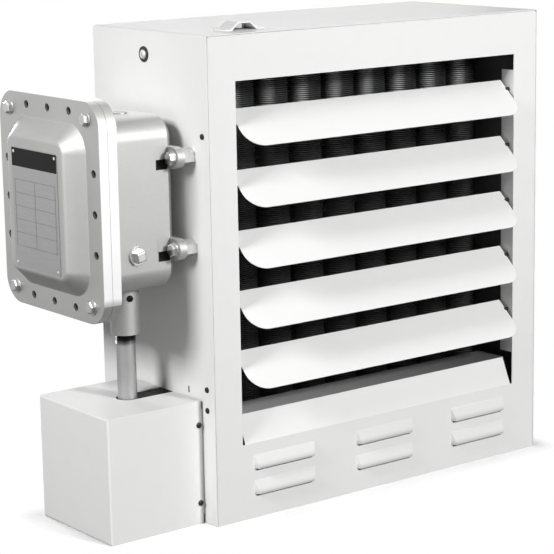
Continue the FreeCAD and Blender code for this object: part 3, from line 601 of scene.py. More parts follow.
def fin_paint(name, light, dark, highlight_tone, first, pitch):
    """Heat-proof paint on the fins, with a painted highlight in a line along the front of each tube."""
    finish = Finish(name, Specular_IOR_Level=0.5)
    soot = finish.noise(scale=22.0, detail=5.0)
    aside = finish.maths("PINGPONG", finish.coordinate("X") - first, pitch / 2)
    line = finish.fade(aside, STREAK_CORE, STREAK_EDGE, start=1.0, end=0.0)
    highlight_rise = finish.fade(finish.coordinate("Z"), *STREAK_HEIGHTS)
    uneven = finish.noise(scale=9.0, detail=2.0)
    # Painted highlight in a line along the front of each tube, fading out lower down
    highlight_share = line * highlight_rise * (STREAK_SHARE + STREAK_UNEVEN * uneven)
    finish.set("Base Color", finish.blend(highlight_share, finish.blend(soot, light, dark), highlight_tone))
    finish.set("Roughness", 0.40 + 0.22 * soot)
    return finish.material


def moulded(name, light, dark, shine=0.5):
    """Moulded plastic or thick ink with a fine spark texture."""
    finish = Finish(name, Specular_IOR_Level=shine)
    spark = finish.noise(scale=900.0, detail=2.0)
    finish.set("Base Color", finish.blend(finish.noise(scale=14.0), light, dark))
    finish.set("Roughness", 0.45 + 0.15 * spark)
    finish.bump(spark, strength=0.12, distance=0.0003)
    return finish.material


def rolled(name, light, dark, gloss=0.28):
    """Rolled aluminium sheet with a long grain."""
    finish = Finish(name, Metallic=0.95)
    grain = finish.noise(scale=24.0, detail=4.0, coords=finish.stretched((1.0, 1.0, 36.0)))
    finish.set("Base Color", finish.blend(grain, light, dark))
    finish.set("Roughness", gloss + 0.22 * grain)
    finish.bump(grain, strength=0.06, distance=0.0003)
    return finish.material


inner_skin = Vector((CABINET_SKIN, -FAR_OUT, CABINET_SKIN))
# Inset of the box outside which the flange rims get a painted highlight
rim_highlight_inset = Vector((-FAR_OUT, RIM_HIGHLIGHT_SKIN, RIM_HIGHLIGHT_SKIN))
white_tones = (tone(0.83, 0.83, 0.825), tone(0.79, 0.79, 0.785))
cast_tones = (tone(0.50, 0.50, 0.495), tone(0.38, 0.38, 0.375))
white_sheet = enamel("white_sheet", *white_tones)
# White sheet with darkened vent hoods and painted shade along their lips
vented_white = enamel("vented_white", *white_tones, hood_shade=vent_hood_shade)
white_blade = enamel("white_blade", tone(0.81, 0.81, 0.805), tone(0.78, 0.78, 0.775), peel=0.07)
# White sheet, with painted shade inside the cabinet
cabinet_white = enamel("cabinet_white", *white_tones,
                       shaded_inside=(cabinet_low + inner_skin, cabinet_high - inner_skin))
cast_body = casting("cast_body", *cast_tones, metal=0.85)
# Cast aluminium with painted highlights on rims and tops and painted shade in the lug pockets
cast_highlit_shaded = casting("cast_highlit_shaded", *cast_tones, metal=0.85,
                      highlight_outside=(cover_low + rim_highlight_inset - AXIS_Z * FAR_OUT, cover_high - rim_highlight_inset),
                      shaded_boxes=lug_pockets())
bright_zinc = plated("bright_zinc", tone(0.86, 0.86, 0.85), tone(0.62, 0.62, 0.61), gloss=0.14)
dull_zinc = plated("dull_zinc", tone(0.62), tone(0.42), gloss=0.34)
black_oxide = plated("black_oxide", tone(0.050), tone(0.020), gloss=0.40, metal=0.6)
conduit_zinc = galvanised("conduit_zinc", tone(0.52), tone(0.38), thread_top=hub_face)
core_black = heat_paint("core_black", tone(0.050), tone(0.030))
# Fins with painted highlight lines along the tubes
fin_black = fin_paint("fin_black", tone(0.040), tone(0.022), tone(STREAK_TONE),
                      first=first_tube + STREAK_SHIFT, pitch=tube_pitch)
tank_grey = heat_paint("tank_grey", tone(0.24), tone(0.18), gloss=0.60, shine=0.20)
# Grey shelf, with painted shade towards its right end
shelf_grey = heat_paint("shelf_grey", tone(0.54), tone(0.46), gloss=0.60, shine=0.20, shade_half=SHELF_HALF)
black_wire = heat_paint("black_wire", tone(0.055), tone(0.030))
plain_steel = plated("plain_steel", tone(0.50), tone(0.36), gloss=0.28)
etched_plate = rolled("etched_plate", tone(0.42), tone(0.34), gloss=0.40)
plate_ink = moulded("plate_ink", tone(0.014), tone(0.008), shine=0.10)
faint_ink = moulded("faint_ink", tone(0.30), tone(0.22), shine=0.10)
yellow_zinc = plated("yellow_zinc", tone(0.66, 0.60, 0.40), tone(0.52, 0.47, 0.30))
# Near black, used as painted shade
shade_black = moulded("shade_black", tone(0.010), tone(0.006), shine=0.10)
black_plastic = moulded("black_plastic", tone(0.060), tone(0.035))
varnished_iron = casting("varnished_iron", tone(0.22, 0.20, 0.18), tone(0.13, 0.12, 0.11), metal=0.3)
fan_sheet = rolled("fan_sheet", tone(0.66), tone(0.50))
motor_grey = enamel("motor_grey", tone(0.17, 0.175, 0.18), tone(0.12, 0.125, 0.13), peel=0.2, gloss=0.30)

FINISH_OF_SLOT = {
    "cabinet_paint": white_sheet, "louvre_paint": white_blade, "core_black": core_black,
    "cast_aluminium": cast_body, "zinc_steel": bright_zinc, "conduit_zinc": conduit_zinc,
    "element_steel": plain_steel, "plate_metal": etched_plate, "subplate_zinc": yellow_zinc,
    "control_plastic": black_plastic, "transformer_iron": varnished_iron, "fan_aluminium": fan_sheet,
    "motor_paint": motor_grey, "spider_paint": black_wire,
}
for name, node in nodes.items():
    node.data.materials.clear()
    node.data.materials.append(FINISH_OF_SLOT[SLOT_OF_NODE[name]])


# Bench work
def enter_edit():
    """Edit mode for the piece in hand."""
    bpy.ops.object.mode_set(mode="EDIT")


def leave_edit():
    """Back to object mode."""
    bpy.ops.object.mode_set(mode="OBJECT")


def clear_bench():
    """Nothing selected, object mode."""
    if bpy.context.object and bpy.context.object.mode != "OBJECT":
        leave_edit()
    bpy.ops.object.select_all(action="DESELECT")


def pick_only(piece):
    clear_bench()
    piece.select_set(True)
    bpy.context.view_layer.objects.active = piece


def edit_whole(piece):
    pick_only(piece)
    enter_edit()
    bpy.ops.mesh.select_all(action="SELECT")


def recalculate(piece):
    edit_whole(piece)
    bpy.ops.mesh.normals_make_consistent(inside=False)
    leave_edit()


def apply_place(piece):
    pick_only(piece)
    bpy.ops.object.transform_apply(location=True, rotation=True, scale=True)


def apply_modifier(piece, kind, **settings):
    pick_only(piece)
    modifier = piece.modifiers.new(kind.lower(), kind)
    for key, setting in settings.items():
        setattr(modifier, key, setting)
    bpy.ops.object.modifier_apply(modifier=modifier.name)


def join(pieces):
    pick_only(pieces[0])
    for piece in pieces[1:]:
        piece.select_set(True)
    if len(pieces) > 1:
        bpy.ops.object.join()
    return bpy.context.object


def dress(piece, name, body, slot, replaced=(), finish=None, smooth=SHADE_ANGLE):
    """Finish a piece: name, place into its mesh, soft shading, material (picked by slot unless a finish is
    given) and body.
    """
    piece.name = name
    piece.data.name = name
    apply_place(piece)
    bpy.ops.object.shade_smooth_by_angle(angle=math.radians(smooth))
    apply_modifier(piece, "WEIGHTED_NORMAL", keep_sharp=True)
    piece.data.materials.clear()
    piece.data.materials.append(finish or FINISH_OF_SLOT[slot])
    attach(piece, body)
    if replaced:
        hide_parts(*replaced)


def soften(piece, width):
    """Small round on every sharp edge."""
    apply_modifier(piece, "BEVEL", width=width, segments=EDGE_STEPS, limit_method="ANGLE",
                   angle_limit=math.radians(EDGE_ANGLE), use_clamp_overlap=False)


def start_picking(piece, kind):
    """Ready to pick edges or faces, with none picked yet."""
    edit_whole(piece)
    bpy.ops.mesh.select_mode(type=kind)
    bpy.ops.mesh.select_all(action="DESELECT")
    leave_edit()


def pick_edges(piece, test):
    """Go into edit mode with only the edges whose two ends pass a test."""
    start_picking(piece, "EDGE")
    for edge in piece.data.edges:
        edge.select = test(*(piece.data.vertices[i].co for i in edge.vertices))
    enter_edit()


def seat_at(x, low, high):
    """Middle of a box, seen from the side, at x."""
    return Vector((x, (low.y + high.y) / 2, (low.z + high.z) / 2))


def stand(piece, place, axis=AXIS_Z, spin=0.0):
    """Stand a piece made along Z at a place, along an axis, turned about itself."""
    turn = AXIS_Z.rotation_difference(axis).to_matrix().to_4x4()
    piece.matrix_world = Matrix.Translation(place) @ turn @ Matrix.Rotation(math.radians(spin), 4, "Z")
    apply_place(piece)
    return piece


def stand_copies(piece, stands, keep=False):
    """Copies of a piece at several (place, axis, spin), each with its own mesh, joined into one."""
    made = []
    for place, axis, spin in stands:
        pick_only(piece)
        bpy.ops.object.duplicate(linked=False)
        made.append(stand(bpy.context.object, place, axis, spin))
    if not keep:
        bpy.data.objects.remove(piece)
    return join(made)


def fasten(head, stands, name, replaced=(), finish=None):
    """Copies of a bolt, screw or spacer, dressed as one piece."""
    dress(stand_copies(head, stands), name, "heater", "zinc_steel", replaced, finish)


def scaled(profile, radius, height):
    """A profile that is written in shares of a radius and a height."""
    return [(share * radius, rise * height) for share, rise in profile]


def turned(profile, sides=TURNED_SIDES):
    """Round piece along Z: each (radius, height) is one extrusion, hollow if the last is the first."""
    clear_bench()
    fill = "NOTHING" if profile[-1] == profile[0] else "NGON"
    radius, height = profile[0]
    bpy.ops.mesh.primitive_circle_add(vertices=sides, radius=radius, fill_type=fill, location=(0, 0, height))
    enter_edit()
    for next_radius, next_height in profile[1:]:
        bpy.ops.mesh.extrude_region_move(TRANSFORM_OT_translate={"value": (0, 0, next_height - height)})
        share = next_radius / radius
        bpy.ops.transform.resize(value=(share, share, 1))
        radius, height = next_radius, next_height
    bpy.ops.mesh.select_all(action="SELECT")
    bpy.ops.mesh.remove_doubles(threshold=MERGE_WITHIN)
    leave_edit()
    piece = bpy.context.object
    apply_place(piece)
    recalculate(piece)
    return piece


def slab(low, high, edge=0.0):
    """Box between two corners, its edges rounded if a width is given."""
    clear_bench()
    low = Vector(low)
    high = Vector(high)
    bpy.ops.mesh.primitive_cube_add(size=1.0, location=(low + high) / 2)
    piece = bpy.context.object
    enter_edit()
    bpy.ops.transform.resize(value=high - low)
    if edge:
        bpy.ops.mesh.bevel(offset=edge, offset_type="OFFSET", segments=EDGE_STEPS, affect="EDGES")
    leave_edit()
    apply_place(piece)
    return piece


def cut_out(piece, cutter):
    """Take a cutter's shape out of a piece."""
    apply_modifier(piece, "BOOLEAN", object=cutter, operation="DIFFERENCE", solver="EXACT")
    bpy.data.objects.remove(cutter)
    return piece


def hex_head(flats, height):
    """Washer and hexagon head with its corners turned off."""
    reach = flats / math.sqrt(3)
    rim = flats / 2 + WASHER_OVER
    round_off = WASHER_THICKNESS / 4
    washer = turned([(rim - round_off, 0), (rim, round_off), (rim, WASHER_THICKNESS * 3 / 4),
                     (rim - round_off, WASHER_THICKNESS)])
    head = turned([(reach, WASHER_THICKNESS), (reach, height - HEX_CHAMFER),
                   (reach - CHAMFER_RUN * HEX_CHAMFER, height)], HEXAGON)
    return join([washer, head])


def slotted_head(radius, height):
    """Low domed head with a screwdriver slot."""
    head = turned(scaled(DOME_PROFILE, radius, height))
    half = SLOT_WIDTH_SHARE * radius / 2
    floor_z = height * (1 - SLOT_DEPTH_SHARE)
    return cut_out(head, slab((-2 * radius, -half, floor_z), (2 * radius, half, 2 * height)))


def socket_head(radius, height):
    """Cylinder head with a hexagon socket."""
    rim = HEX_CHAMFER / 2
    head = turned([(radius, 0), (radius, height - rim), (radius - rim, height)])
    reach = SOCKET_FLATS / math.sqrt(3)
    socket = turned([(reach, height - SOCKET_DEPTH), (reach, height + SOCKET_DEPTH)], HEXAGON)
    return cut_out(head, socket)


def finished_copy(node, edge=0.0, smooth=COPY_SHADE_ANGLE, finish=None, cutter=None):
    """Merged copy of a CAD piece with softened edges, so that its curves shade as one surface."""
    pick_only(nodes[node])
    bpy.ops.object.duplicate(linked=False)
    piece = bpy.context.object
    piece.parent = None
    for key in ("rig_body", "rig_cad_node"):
        if key in piece:
            del piece[key]
    if piece.data.has_custom_normals:
        bpy.ops.mesh.customdata_custom_splitnormals_clear()
    edit_whole(piece)
    bpy.ops.mesh.remove_doubles(threshold=MERGE_WITHIN)
    if edge:
        bpy.ops.mesh.dissolve_limited(angle_limit=math.radians(FLAT_WITHIN))
    leave_edit()
    if edge:
        soften(piece, edge)
    if cutter:
        cut_out(piece, cutter)
    dress(piece, node + "_finished", BODY_OF_NODE[node], SLOT_OF_NODE[node], (node,), finish, smooth)


# Louvres and vents
def louvre_blade(joint):
    """Tilted blade with round outer corners, on a pin at each end."""
    node = joint["child"]
    pivot = Vector(joint["pos_m"])
    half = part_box(node)[1].x - LOUVRE_PIN_OVERHANG
    outer = PIVOT_FROM_INNER - BLADE_CHORD
    blade = slab((-half, outer, -BLADE_SHEET / 2), (half, PIVOT_FROM_INNER, BLADE_SHEET / 2))
    pick_edges(blade, lambda a, b: abs(a.z - b.z) > BLADE_SHEET / 2 and a.y < 0)
    bpy.ops.mesh.bevel(offset=BLADE_CORNER, segments=BLADE_CORNER_STEPS, affect="EDGES")
    leave_edit()
    soften(blade, BLADE_EDGE)
    tilt = Matrix.Rotation(math.radians(BLADE_TILT), 4, "X")
    blade.matrix_world = Matrix.Translation(pivot) @ tilt
    apply_place(blade)
    length = LOUVRE_PIN_ROOT + LOUVRE_PIN_OVERHANG
    pin = turned([(LOUVRE_PIN_RADIUS, 0), (LOUVRE_PIN_RADIUS, length - BLADE_EDGE),
                  (LOUVRE_PIN_RADIUS - BLADE_EDGE, length)], LOUVRE_PIN_SIDES)
    reach = half - LOUVRE_PIN_ROOT
    pins = stand_copies(pin, [(pivot + AXIS_X * side * reach, AXIS_X * side, 0.0) for side in (-1, 1)])
    dress(blade, node + "_finished", node, "louvre_paint", (node,))
    dress(pins, node + "_pins", node, "louvre_paint", finish=black_oxide)


def vent_gaps():
    """Cutter for the narrow gaps in the front panel under the lip of each vent hood."""
    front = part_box("front_panel")[0].y + VENT_HOOD_REACH
    gaps = []
    for x in VENT_COLUMNS:
        for z in VENT_EDGES:
            gaps.append(slab((x - VENT_HALF, front - SHEET_EDGE, z - VENT_GAP),
                             (x + VENT_HALF, front + VENT_DEPTH, z - SHEET_EDGE)))
    return join(gaps)


# Core
def fin_stacks():
    """A stack of thin round fins, copied to each tube."""
    inner = tube_radius + FIN_ROOM
    share = (inner + FIN_REACH) / inner
    rise = tube_high.z - tube_low.z - FIN_START - FIN_END_GAP
    clear_bench()
    bpy.ops.mesh.primitive_circle_add(vertices=FIN_SIDES, radius=inner, fill_type="NOTHING")
    enter_edit()
    bpy.ops.mesh.extrude_edges_move()
    bpy.ops.transform.resize(value=(share, share, 1))
    leave_edit()
    stack = bpy.context.object
    apply_modifier(stack, "SOLIDIFY", thickness=FIN_SHEET)
    apply_modifier(stack, "ARRAY", count=int(rise / FIN_PITCH), use_relative_offset=False,
                   use_constant_offset=True, constant_offset_displace=(0, 0, FIN_PITCH))
    recalculate(stack)
    middle_y = (tube_low.y + tube_high.y) / 2
    for n in range(TUBE_COUNT):
        place = Vector((first_tube + n * tube_pitch, middle_y, tube_low.z + FIN_START))
        fins = stand_copies(stack, [(place, AXIS_Z, 0.0)], keep=n < TUBE_COUNT - 1)
        dress(fins, "fin_stack_%d" % (n + 1), "heater", "core_black", finish=fin_black)


def core_bolts():
    """Slotted bolts with washers through the cabinet's sides into the core's brackets."""
    boxes = islands("core_bolts")
    stands = []
    for low, high in boxes:
        side = 1 if low.x > 0 else -1
        seat = seat_at(low.x if side > 0 else high.x, low, high)
        stands.append((seat, AXIS_X * side, CORE_BOLT_SPIN))
    low, high = boxes[-1]
    radius = (high.z - low.z) / 2
    head = slotted_head(radius, high.x - low.x)
    fasten(head, stands, "core_bolts_finished", ("core_bolts",))
    # Black washers; their dark ring also stands in for the shade round each head
    washer = turned([(radius, 0), (CORE_WASHER_RADIUS, 0), (CORE_WASHER_RADIUS, CORE_WASHER_HEIGHT),
                     (radius, CORE_WASHER_HEIGHT), (radius, 0)])
    fasten(washer, stands, "core_washers", finish=black_oxide)


def sill_shelf():
    """Sheet shelf behind the sill, folded down at its back."""
    shelf = slab((-SHELF_HALF, SHELF_FRONT, SHELF_TOP - SHELF_SHEET),
                 (SHELF_HALF, SHELF_BACK, SHELF_TOP), SHEET_EDGE)
    fold = slab((-SHELF_HALF, SHELF_BACK - SHELF_SHEET, SHELF_TOP - SHELF_FOLD),
                (SHELF_HALF, SHELF_BACK, SHELF_TOP - SHELF_SHEET / 2), SHEET_EDGE)
    dress(join([shelf, fold]), "sill_shelf", "heater", "cabinet_paint", finish=shelf_grey)


# Enclosure
def hex_bolts(node, spins, finish):
    """Hexagon heads in place of plain ones, facing left."""
    boxes = islands(node)
    stands = [(seat_at(high.x, low, high), -AXIS_X, spin) for (low, high), spin in zip(boxes, spins)]
    low, high = boxes[0]
    head = hex_head(high.z - low.z, high.x - low.x)
    fasten(head, stands, node + "_finished", (node,), finish)


def lug_webs():
    """Cast webs that close the upper part of each lug pocket, level with the body's side."""
    webs = []
    for low, high in lug_heads:
        side = 1 if low.y > cover_middle.y else -1
        level = (low.z + high.z) / 2
        face = cover_middle.y + side * BODY_HALF
        ys = sorted((face, face - side * WEB_DEPTH))
        webs.append(slab((high.x - POCKET_LENGTH, ys[0], level - WEB_DROP),
                         (high.x - WEB_GAP, ys[1], level + WEB_RISE)))
    dress(join(webs), "lug_webs", "heater", "cast_aluminium")


def standoffs():
    """Hexagon spacers with turned-off ends."""
    boxes = islands("standoffs")
    stands = [(seat_at(low.x, low, high), AXIS_X, STANDOFF_SPIN) for low, high in boxes]
    low, high = boxes[0]
    reach = (high.z - low.z) / math.sqrt(3)
    length = high.x - low.x
    end = reach - CHAMFER_RUN * HEX_CHAMFER
    spacer = turned([(end, 0), (reach, HEX_CHAMFER), (reach, length - HEX_CHAMFER), (end, length)], HEXAGON)
    fasten(spacer, stands, "standoffs_finished", ("standoffs",))


def joint_screws():
    """Socket screws sunk in the cover's seats."""
    low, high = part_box("enclosure_cover")
    middle = (low + high) / 2
    floor_x = low.x + PAN_RISE + SCREW_SINK
    stands = []
    for n in (-1, 0, 1):
        for side in (-1, 1):
            spin = JOINT_ROW_SPIN * n + JOINT_SIDE_SPIN * side
            rows = ((side * ((high.y - low.y) / 2 - JOINT_ROW_INSET), n * JOINT_PITCH),
                    (n * JOINT_PITCH, side * ((high.z - low.z) / 2 - JOINT_ROW_INSET)))
            for y, z in rows:
                stands.append((Vector((floor_x, middle.y + y, middle.z + z)), -AXIS_X, spin))
    head = socket_head(SOCKET_HEAD_RADIUS, SOCKET_HEAD_HEIGHT)
    fasten(head, stands, "joint_screws", finish=black_oxide)


def side_plug():
    """Pipe plug: round collar and a square head with its corners off."""
    low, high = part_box("side_plug")
    radius = (high.x - low.x) / 2
    length = high.y - low.y
    rim = PLUG_COLLAR_HEIGHT / 4
    collar = turned([(radius, 0), (radius, PLUG_COLLAR_HEIGHT - rim), (radius - rim, PLUG_COLLAR_HEIGHT)])
    reach = PLUG_HEAD_FLATS / math.sqrt(2)
    head = turned([(reach, PLUG_COLLAR_HEIGHT), (reach, length - PLUG_CHAMFER),
                   (reach - CHAMFER_RUN * PLUG_CHAMFER, length)], SQUARE)
    stand(head, Vector((0, 0, 0)), AXIS_Z, PLUG_HEAD_SPIN)
    soften(head, MACHINED_EDGE)
    seat = Vector(((low.x + high.x) / 2, high.y, (low.z + high.z) / 2))
    plug = stand(join([collar, head]), seat, -AXIS_Y, PLUG_SPIN)
    dress(plug, "side_plug_finished", "heater", "zinc_steel", ("side_plug",))


def conduit():
    """Conduit with the end of its thread showing under the hub."""
    profile = [(CONDUIT_BORE_RADIUS, conduit_low.z), (conduit_radius, conduit_low.z)]
    for n in range(THREAD_RIDGES):
        z = hub_face - (THREAD_RIDGES - n) * THREAD_PITCH
        profile.append((conduit_radius - THREAD_DEPTH, z))
        profile.append((conduit_radius, z + THREAD_PITCH / 2))
    profile += [(conduit_radius - THREAD_DEPTH, hub_face), (conduit_radius, hub_face + THREAD_PITCH),
                (conduit_radius, conduit_high.z), (CONDUIT_BORE_RADIUS, conduit_high.z),
                (CONDUIT_BORE_RADIUS, conduit_low.z)]
    pipe = stand(turned(profile), conduit_axis)
    dress(pipe, "conduit_finished", "heater", "conduit_zinc", ("conduit",))


def slot_shade_sheet():
    """Black sheet round the conduit, under the slot in the terminal cover's top: painted shade in the slot.
    """
    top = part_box("terminal_cover")[1].z - COVER_SHEET - SHADE_SHEET_GAP
    dark_sheet = slab((conduit_axis.x - SHADE_SHEET_LEFT, conduit_axis.y - SHADE_SHEET_HALF, top - SHADE_SHEET_THICKNESS),
                (cabinet_low.x - SHADE_SHEET_GAP, conduit_axis.y + SHADE_SHEET_HALF, top))
    radius = conduit_radius + SHADE_SHEET_GAP
    hole = stand(turned([(radius, top - 2 * SHADE_SHEET_THICKNESS), (radius, top + SHADE_SHEET_THICKNESS)]), conduit_axis)
    dress(cut_out(dark_sheet, hole), "slot_shade_sheet", "heater", "cabinet_paint", finish=shade_black)


def hub_screw():
    """Screw in the side of the conduit hub, near black as painted shade under the body's edge."""
    way = Vector(HUB_SCREW_WAY).normalized()
    screw = slotted_head(HUB_SCREW_RADIUS, HUB_SCREW_HEIGHT)
    seat = conduit_axis + way * (HUB_RADIUS - HUB_SCREW_SINK) + AXIS_Z * (hub_face + HUB_SCREW_RISE)
    # Near black: a real screw whose colour also stands in for the shade under the body's edge
    dress(stand(screw, seat, way), "hub_screw", "heater", "zinc_steel", finish=shade_black)


def cover_plate():
    """Blank plate: dark band, a ruled form, four drive pins."""
    low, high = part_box("rating_plate")
    thickness = high.x - low.x
    base_x = high.x - PLATE_BASE_SHARE * thickness
    ink_x = base_x - PLATE_INK_SHARE * thickness
    base = slab((base_x, low.y, low.z), (high.x, high.y, high.z))
    pick_edges(base, lambda a, b: abs(a.x - b.x) > thickness / 4)
    bpy.ops.mesh.bevel(offset=PLATE_ROUND, segments=PLATE_ROUND_STEPS, affect="EDGES")
    leave_edit()
    dress(base, "rating_plate_finished", "heater", "plate_metal", ("rating_plate",))
    band_top = high.z - PLATE_MARGIN
    band = slab((ink_x, low.y + PLATE_MARGIN, band_top - BAND_HEIGHT),
                (base_x, high.y - PLATE_MARGIN, band_top), (base_x - ink_x) / 3)
    dress(band, "plate_band", "heater", "plate_metal", finish=plate_ink)
    left = low.y + RULE_MARGIN
    right = high.y - RULE_MARGIN
    levels = [band_top - BAND_HEIGHT - (n + 1) * RULE_PITCH for n in range(RULE_COUNT)]
    rules = [slab((ink_x, left, z), (base_x, right, z + RULE_WIDTH)) for z in levels]
    for y in (left, (left + right) / 2, right - RULE_WIDTH):
        rules.append(slab((ink_x, y, levels[-1]), (base_x, y + RULE_WIDTH, levels[0])))
    dress(join(rules), "plate_rules", "heater", "plate_metal", finish=faint_ink)
    stands = []
    for y in (low.y + PLATE_PIN_INSET, high.y - PLATE_PIN_INSET):
        for z in (low.z + PLATE_PIN_INSET, high.z - PLATE_PIN_INSET):
            stands.append((Vector((base_x, y, z)), -AXIS_X, 0.0))
    rise = base_x - low.x
    pin = turned([(PLATE_PIN_RADIUS, 0), (PLATE_PIN_RADIUS, rise / 2), (PLATE_PIN_RADIUS / 2, rise)],
                 PLATE_PIN_SIDES)
    fasten(pin, stands, "plate_pins")


# Sheet screws and wall mark
def sheet_screws():
    """Dark screws in the cabinet's sides and the terminal cover."""
    low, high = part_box("cabinet")
    stands = []
    for side, x in ((-1, low.x), (1, high.x)):
        for n, (y, z) in enumerate(WALL_SCREWS):
            stands.append((Vector((x, y, z)), AXIS_X * side, WALL_SCREW_SPIN * n))
    box_low, box_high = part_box("terminal_cover")
    screw_x = box_high.x - COVER_SCREW_FROM_WALL
    for side, y in ((-1, box_low.y), (1, box_high.y)):
        for n, z in enumerate(COVER_SCREW_HEIGHTS):
            spin = COVER_SCREW_SPIN * n + COVER_SCREW_FIRST_SPIN
            stands.append((Vector((screw_x, y, z)), AXIS_Y * side, spin))
    head = slotted_head(SHEET_SCREW_RADIUS, SHEET_SCREW_HEIGHT)
    fasten(head, stands, "sheet_screws", finish=black_oxide)


def wall_mark():
    """Small dark mark on the cabinet's left side."""
    spot = Vector((cabinet_low.x, *WALL_MARK))
    half = Vector((0, WALL_MARK_SIZE[0] / 2, WALL_MARK_SIZE[1] / 2))
    mark = slab(spot - half - AXIS_X * WALL_MARK_HEIGHT, spot + half)
    dress(mark, "wall_mark", "heater", "cabinet_paint", finish=black_oxide)


# Guard, motor and spider
def bent_wire(points, radius):
    """Round wire along a smooth line that its bends pull."""
    curve = bpy.data.curves.new("wire", "CURVE")
    curve.dimensions = "3D"
    curve.bevel_depth = radius
    curve.bevel_resolution = WIRE_SIDES // 2 - 2
    curve.use_fill_caps = True
    spline = curve.splines.new("NURBS")
    spline.points.add(len(points) - 1)
    for spot, place in zip(spline.points, points):
        spot.co = (*place, 1.0)
    spline.order_u = 3
    spline.use_endpoint_u = True
    wire = bpy.data.objects.new("wire", curve)
    bpy.context.scene.collection.objects.link(wire)
    pick_only(wire)
    bpy.ops.object.convert(target="MESH")
    return bpy.context.object


def fan_guard():
    """Welded guard of round wire: rings on spokes that turn down to the rear panel."""
    low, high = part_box("fan_guard")
    centre = (low + high) / 2
    half = GUARD_WIRE / 2
    outer = (high.x - low.x) / 2 - half
    inner = (outer + half) * GUARD_INNER_SHARE - half
    ring_y = high.y - half
    spoke_y = ring_y - GUARD_WIRE
    wires = []
    for n in range(GUARD_RINGS):
        clear_bench()
        radius = inner + (outer - inner) * n / (GUARD_RINGS - 1)
        bpy.ops.mesh.primitive_torus_add(major_radius=radius, minor_radius=half,
                                         major_segments=GUARD_RING_STEPS, minor_segments=WIRE_SIDES)
        wires.append(stand(bpy.context.object, Vector((centre.x, ring_y, centre.z)), AXIS_Y))
    for n in range(GUARD_SPOKES):
        turn = math.tau * (n + 0.5) / GUARD_SPOKES
        out = Vector((math.sin(turn), 0, math.cos(turn)))
        hub = Vector((centre.x, 0, centre.z))
        runs = ((inner - half, spoke_y), (outer - WIRE_BEND, spoke_y), (outer, spoke_y),
                (outer, spoke_y - WIRE_BEND / 2), (outer, low.y))
        wires.append(bent_wire([hub + out * reach + AXIS_Y * y for reach, y in runs], half))
    guard = join(wires)
    recalculate(guard)
    dress(guard, "fan_guard_finished", "heater", "spider_paint", ("fan_guard",))


def motor_frame():
    """Ribbed frame between the end bells."""
    low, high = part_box("motor_frame")
    radius = (high.x - low.x) / 2
    clear_bench()
    bpy.ops.mesh.primitive_cylinder_add(vertices=RIB_SIDES, radius=radius, depth=high.y - low.y)
    frame_piece = bpy.context.object
    start_picking(frame_piece, "FACE")
    step = math.tau / RIB_SIDES
    for face in frame_piece.data.polygons:
        number = int(math.atan2(face.center.y, face.center.x) % math.tau / step)
        face.select = abs(face.normal.z) < SIDE_FACE_SLOPE and number % RIB_EVERY != 0
    enter_edit()
    bpy.ops.mesh.inset(thickness=RIB_DRAFT, depth=-RIB_DEPTH)
    leave_edit()
    stand(frame_piece, (low + high) / 2, AXIS_Y)
    dress(frame_piece, "motor_frame_finished", "heater", "motor_paint", ("motor_frame",))


def bolt_ring(middle, y, reach, spin):
    """Four places round the motor's axis, each bolt turned further than the last."""
    stands = []
    for n, angle in enumerate(BOLT_RING_ANGLES):
        turn = math.radians(angle)
        place = Vector((middle.x + reach * math.cos(turn), y, middle.z + reach * math.sin(turn)))
        stands.append((place, AXIS_Y, spin * n))
    return stands


def motor_bells():
    """End bells with drawn-in shoulders, the rear one with its bearing boss and through bolts."""
    low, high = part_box("front_bell")
    middle = (low + high) / 2
    radius = (high.x - low.x) / 2
    length = high.y - low.y
    bell = turned(scaled(FRONT_BELL_PROFILE, radius, length), BELL_SIDES)
    stand(bell, Vector((middle.x, low.y, middle.z)), AXIS_Y)
    dress(bell, "front_bell_finished", "heater", "motor_paint", ("front_bell",))
    low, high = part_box("rear_bell")
    boss = BOSS_SHARE * radius
    chamfer = BOSS_CHAMFER_SHARE * length
    total = high.y - low.y
    profile = scaled(REAR_BELL_PROFILE, radius, length)
    profile += [(boss, length), (boss, total - chamfer), (boss - chamfer, total)]
    bell = turned(profile, BELL_SIDES)
    stand(bell, Vector((middle.x, low.y, middle.z)), AXIS_Y)
    dress(bell, "rear_bell_finished", "heater", "motor_paint", ("rear_bell",))
    seat_y = low.y + THROUGH_BOLT_SEAT_SHARE * length
    head = hex_head(THROUGH_BOLT_FLATS, THROUGH_BOLT_HEIGHT + THROUGH_BOLT_SINK_SHARE * length)
    fasten(head, bolt_ring(middle, seat_y, THROUGH_BOLT_REACH, THROUGH_BOLT_SPIN), "through_bolts")


def spider_bolts():
    """Bolts through the spider's feet into the rear panel."""
    low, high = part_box("motor_spider")
    stands = bolt_ring((low + high) / 2, low.y + SPIDER_THICKNESS, FOOT_BOLT_REACH, FOOT_BOLT_SPIN)
    head = hex_head(FOOT_BOLT_FLATS, FOOT_BOLT_HEIGHT)
    fasten(head, stands, "spider_bolts")


def lid_screws():
    """Screws in the corners of the motor box's cover."""
    low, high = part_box("motor_box_cover")
    stands = []
    for x in (low.x + LID_SCREW_INSET, high.x - LID_SCREW_INSET):
        for y in (low.y + LID_SCREW_INSET, high.y - LID_SCREW_INSET):
            stands.append((Vector((x, y, high.z)), AXIS_Z, LID_SCREW_SPIN_PER_METRE * (x + y)))
    head = slotted_head(SHEET_SCREW_RADIUS, SHEET_SCREW_HEIGHT)
    fasten(head, stands, "lid_screws")


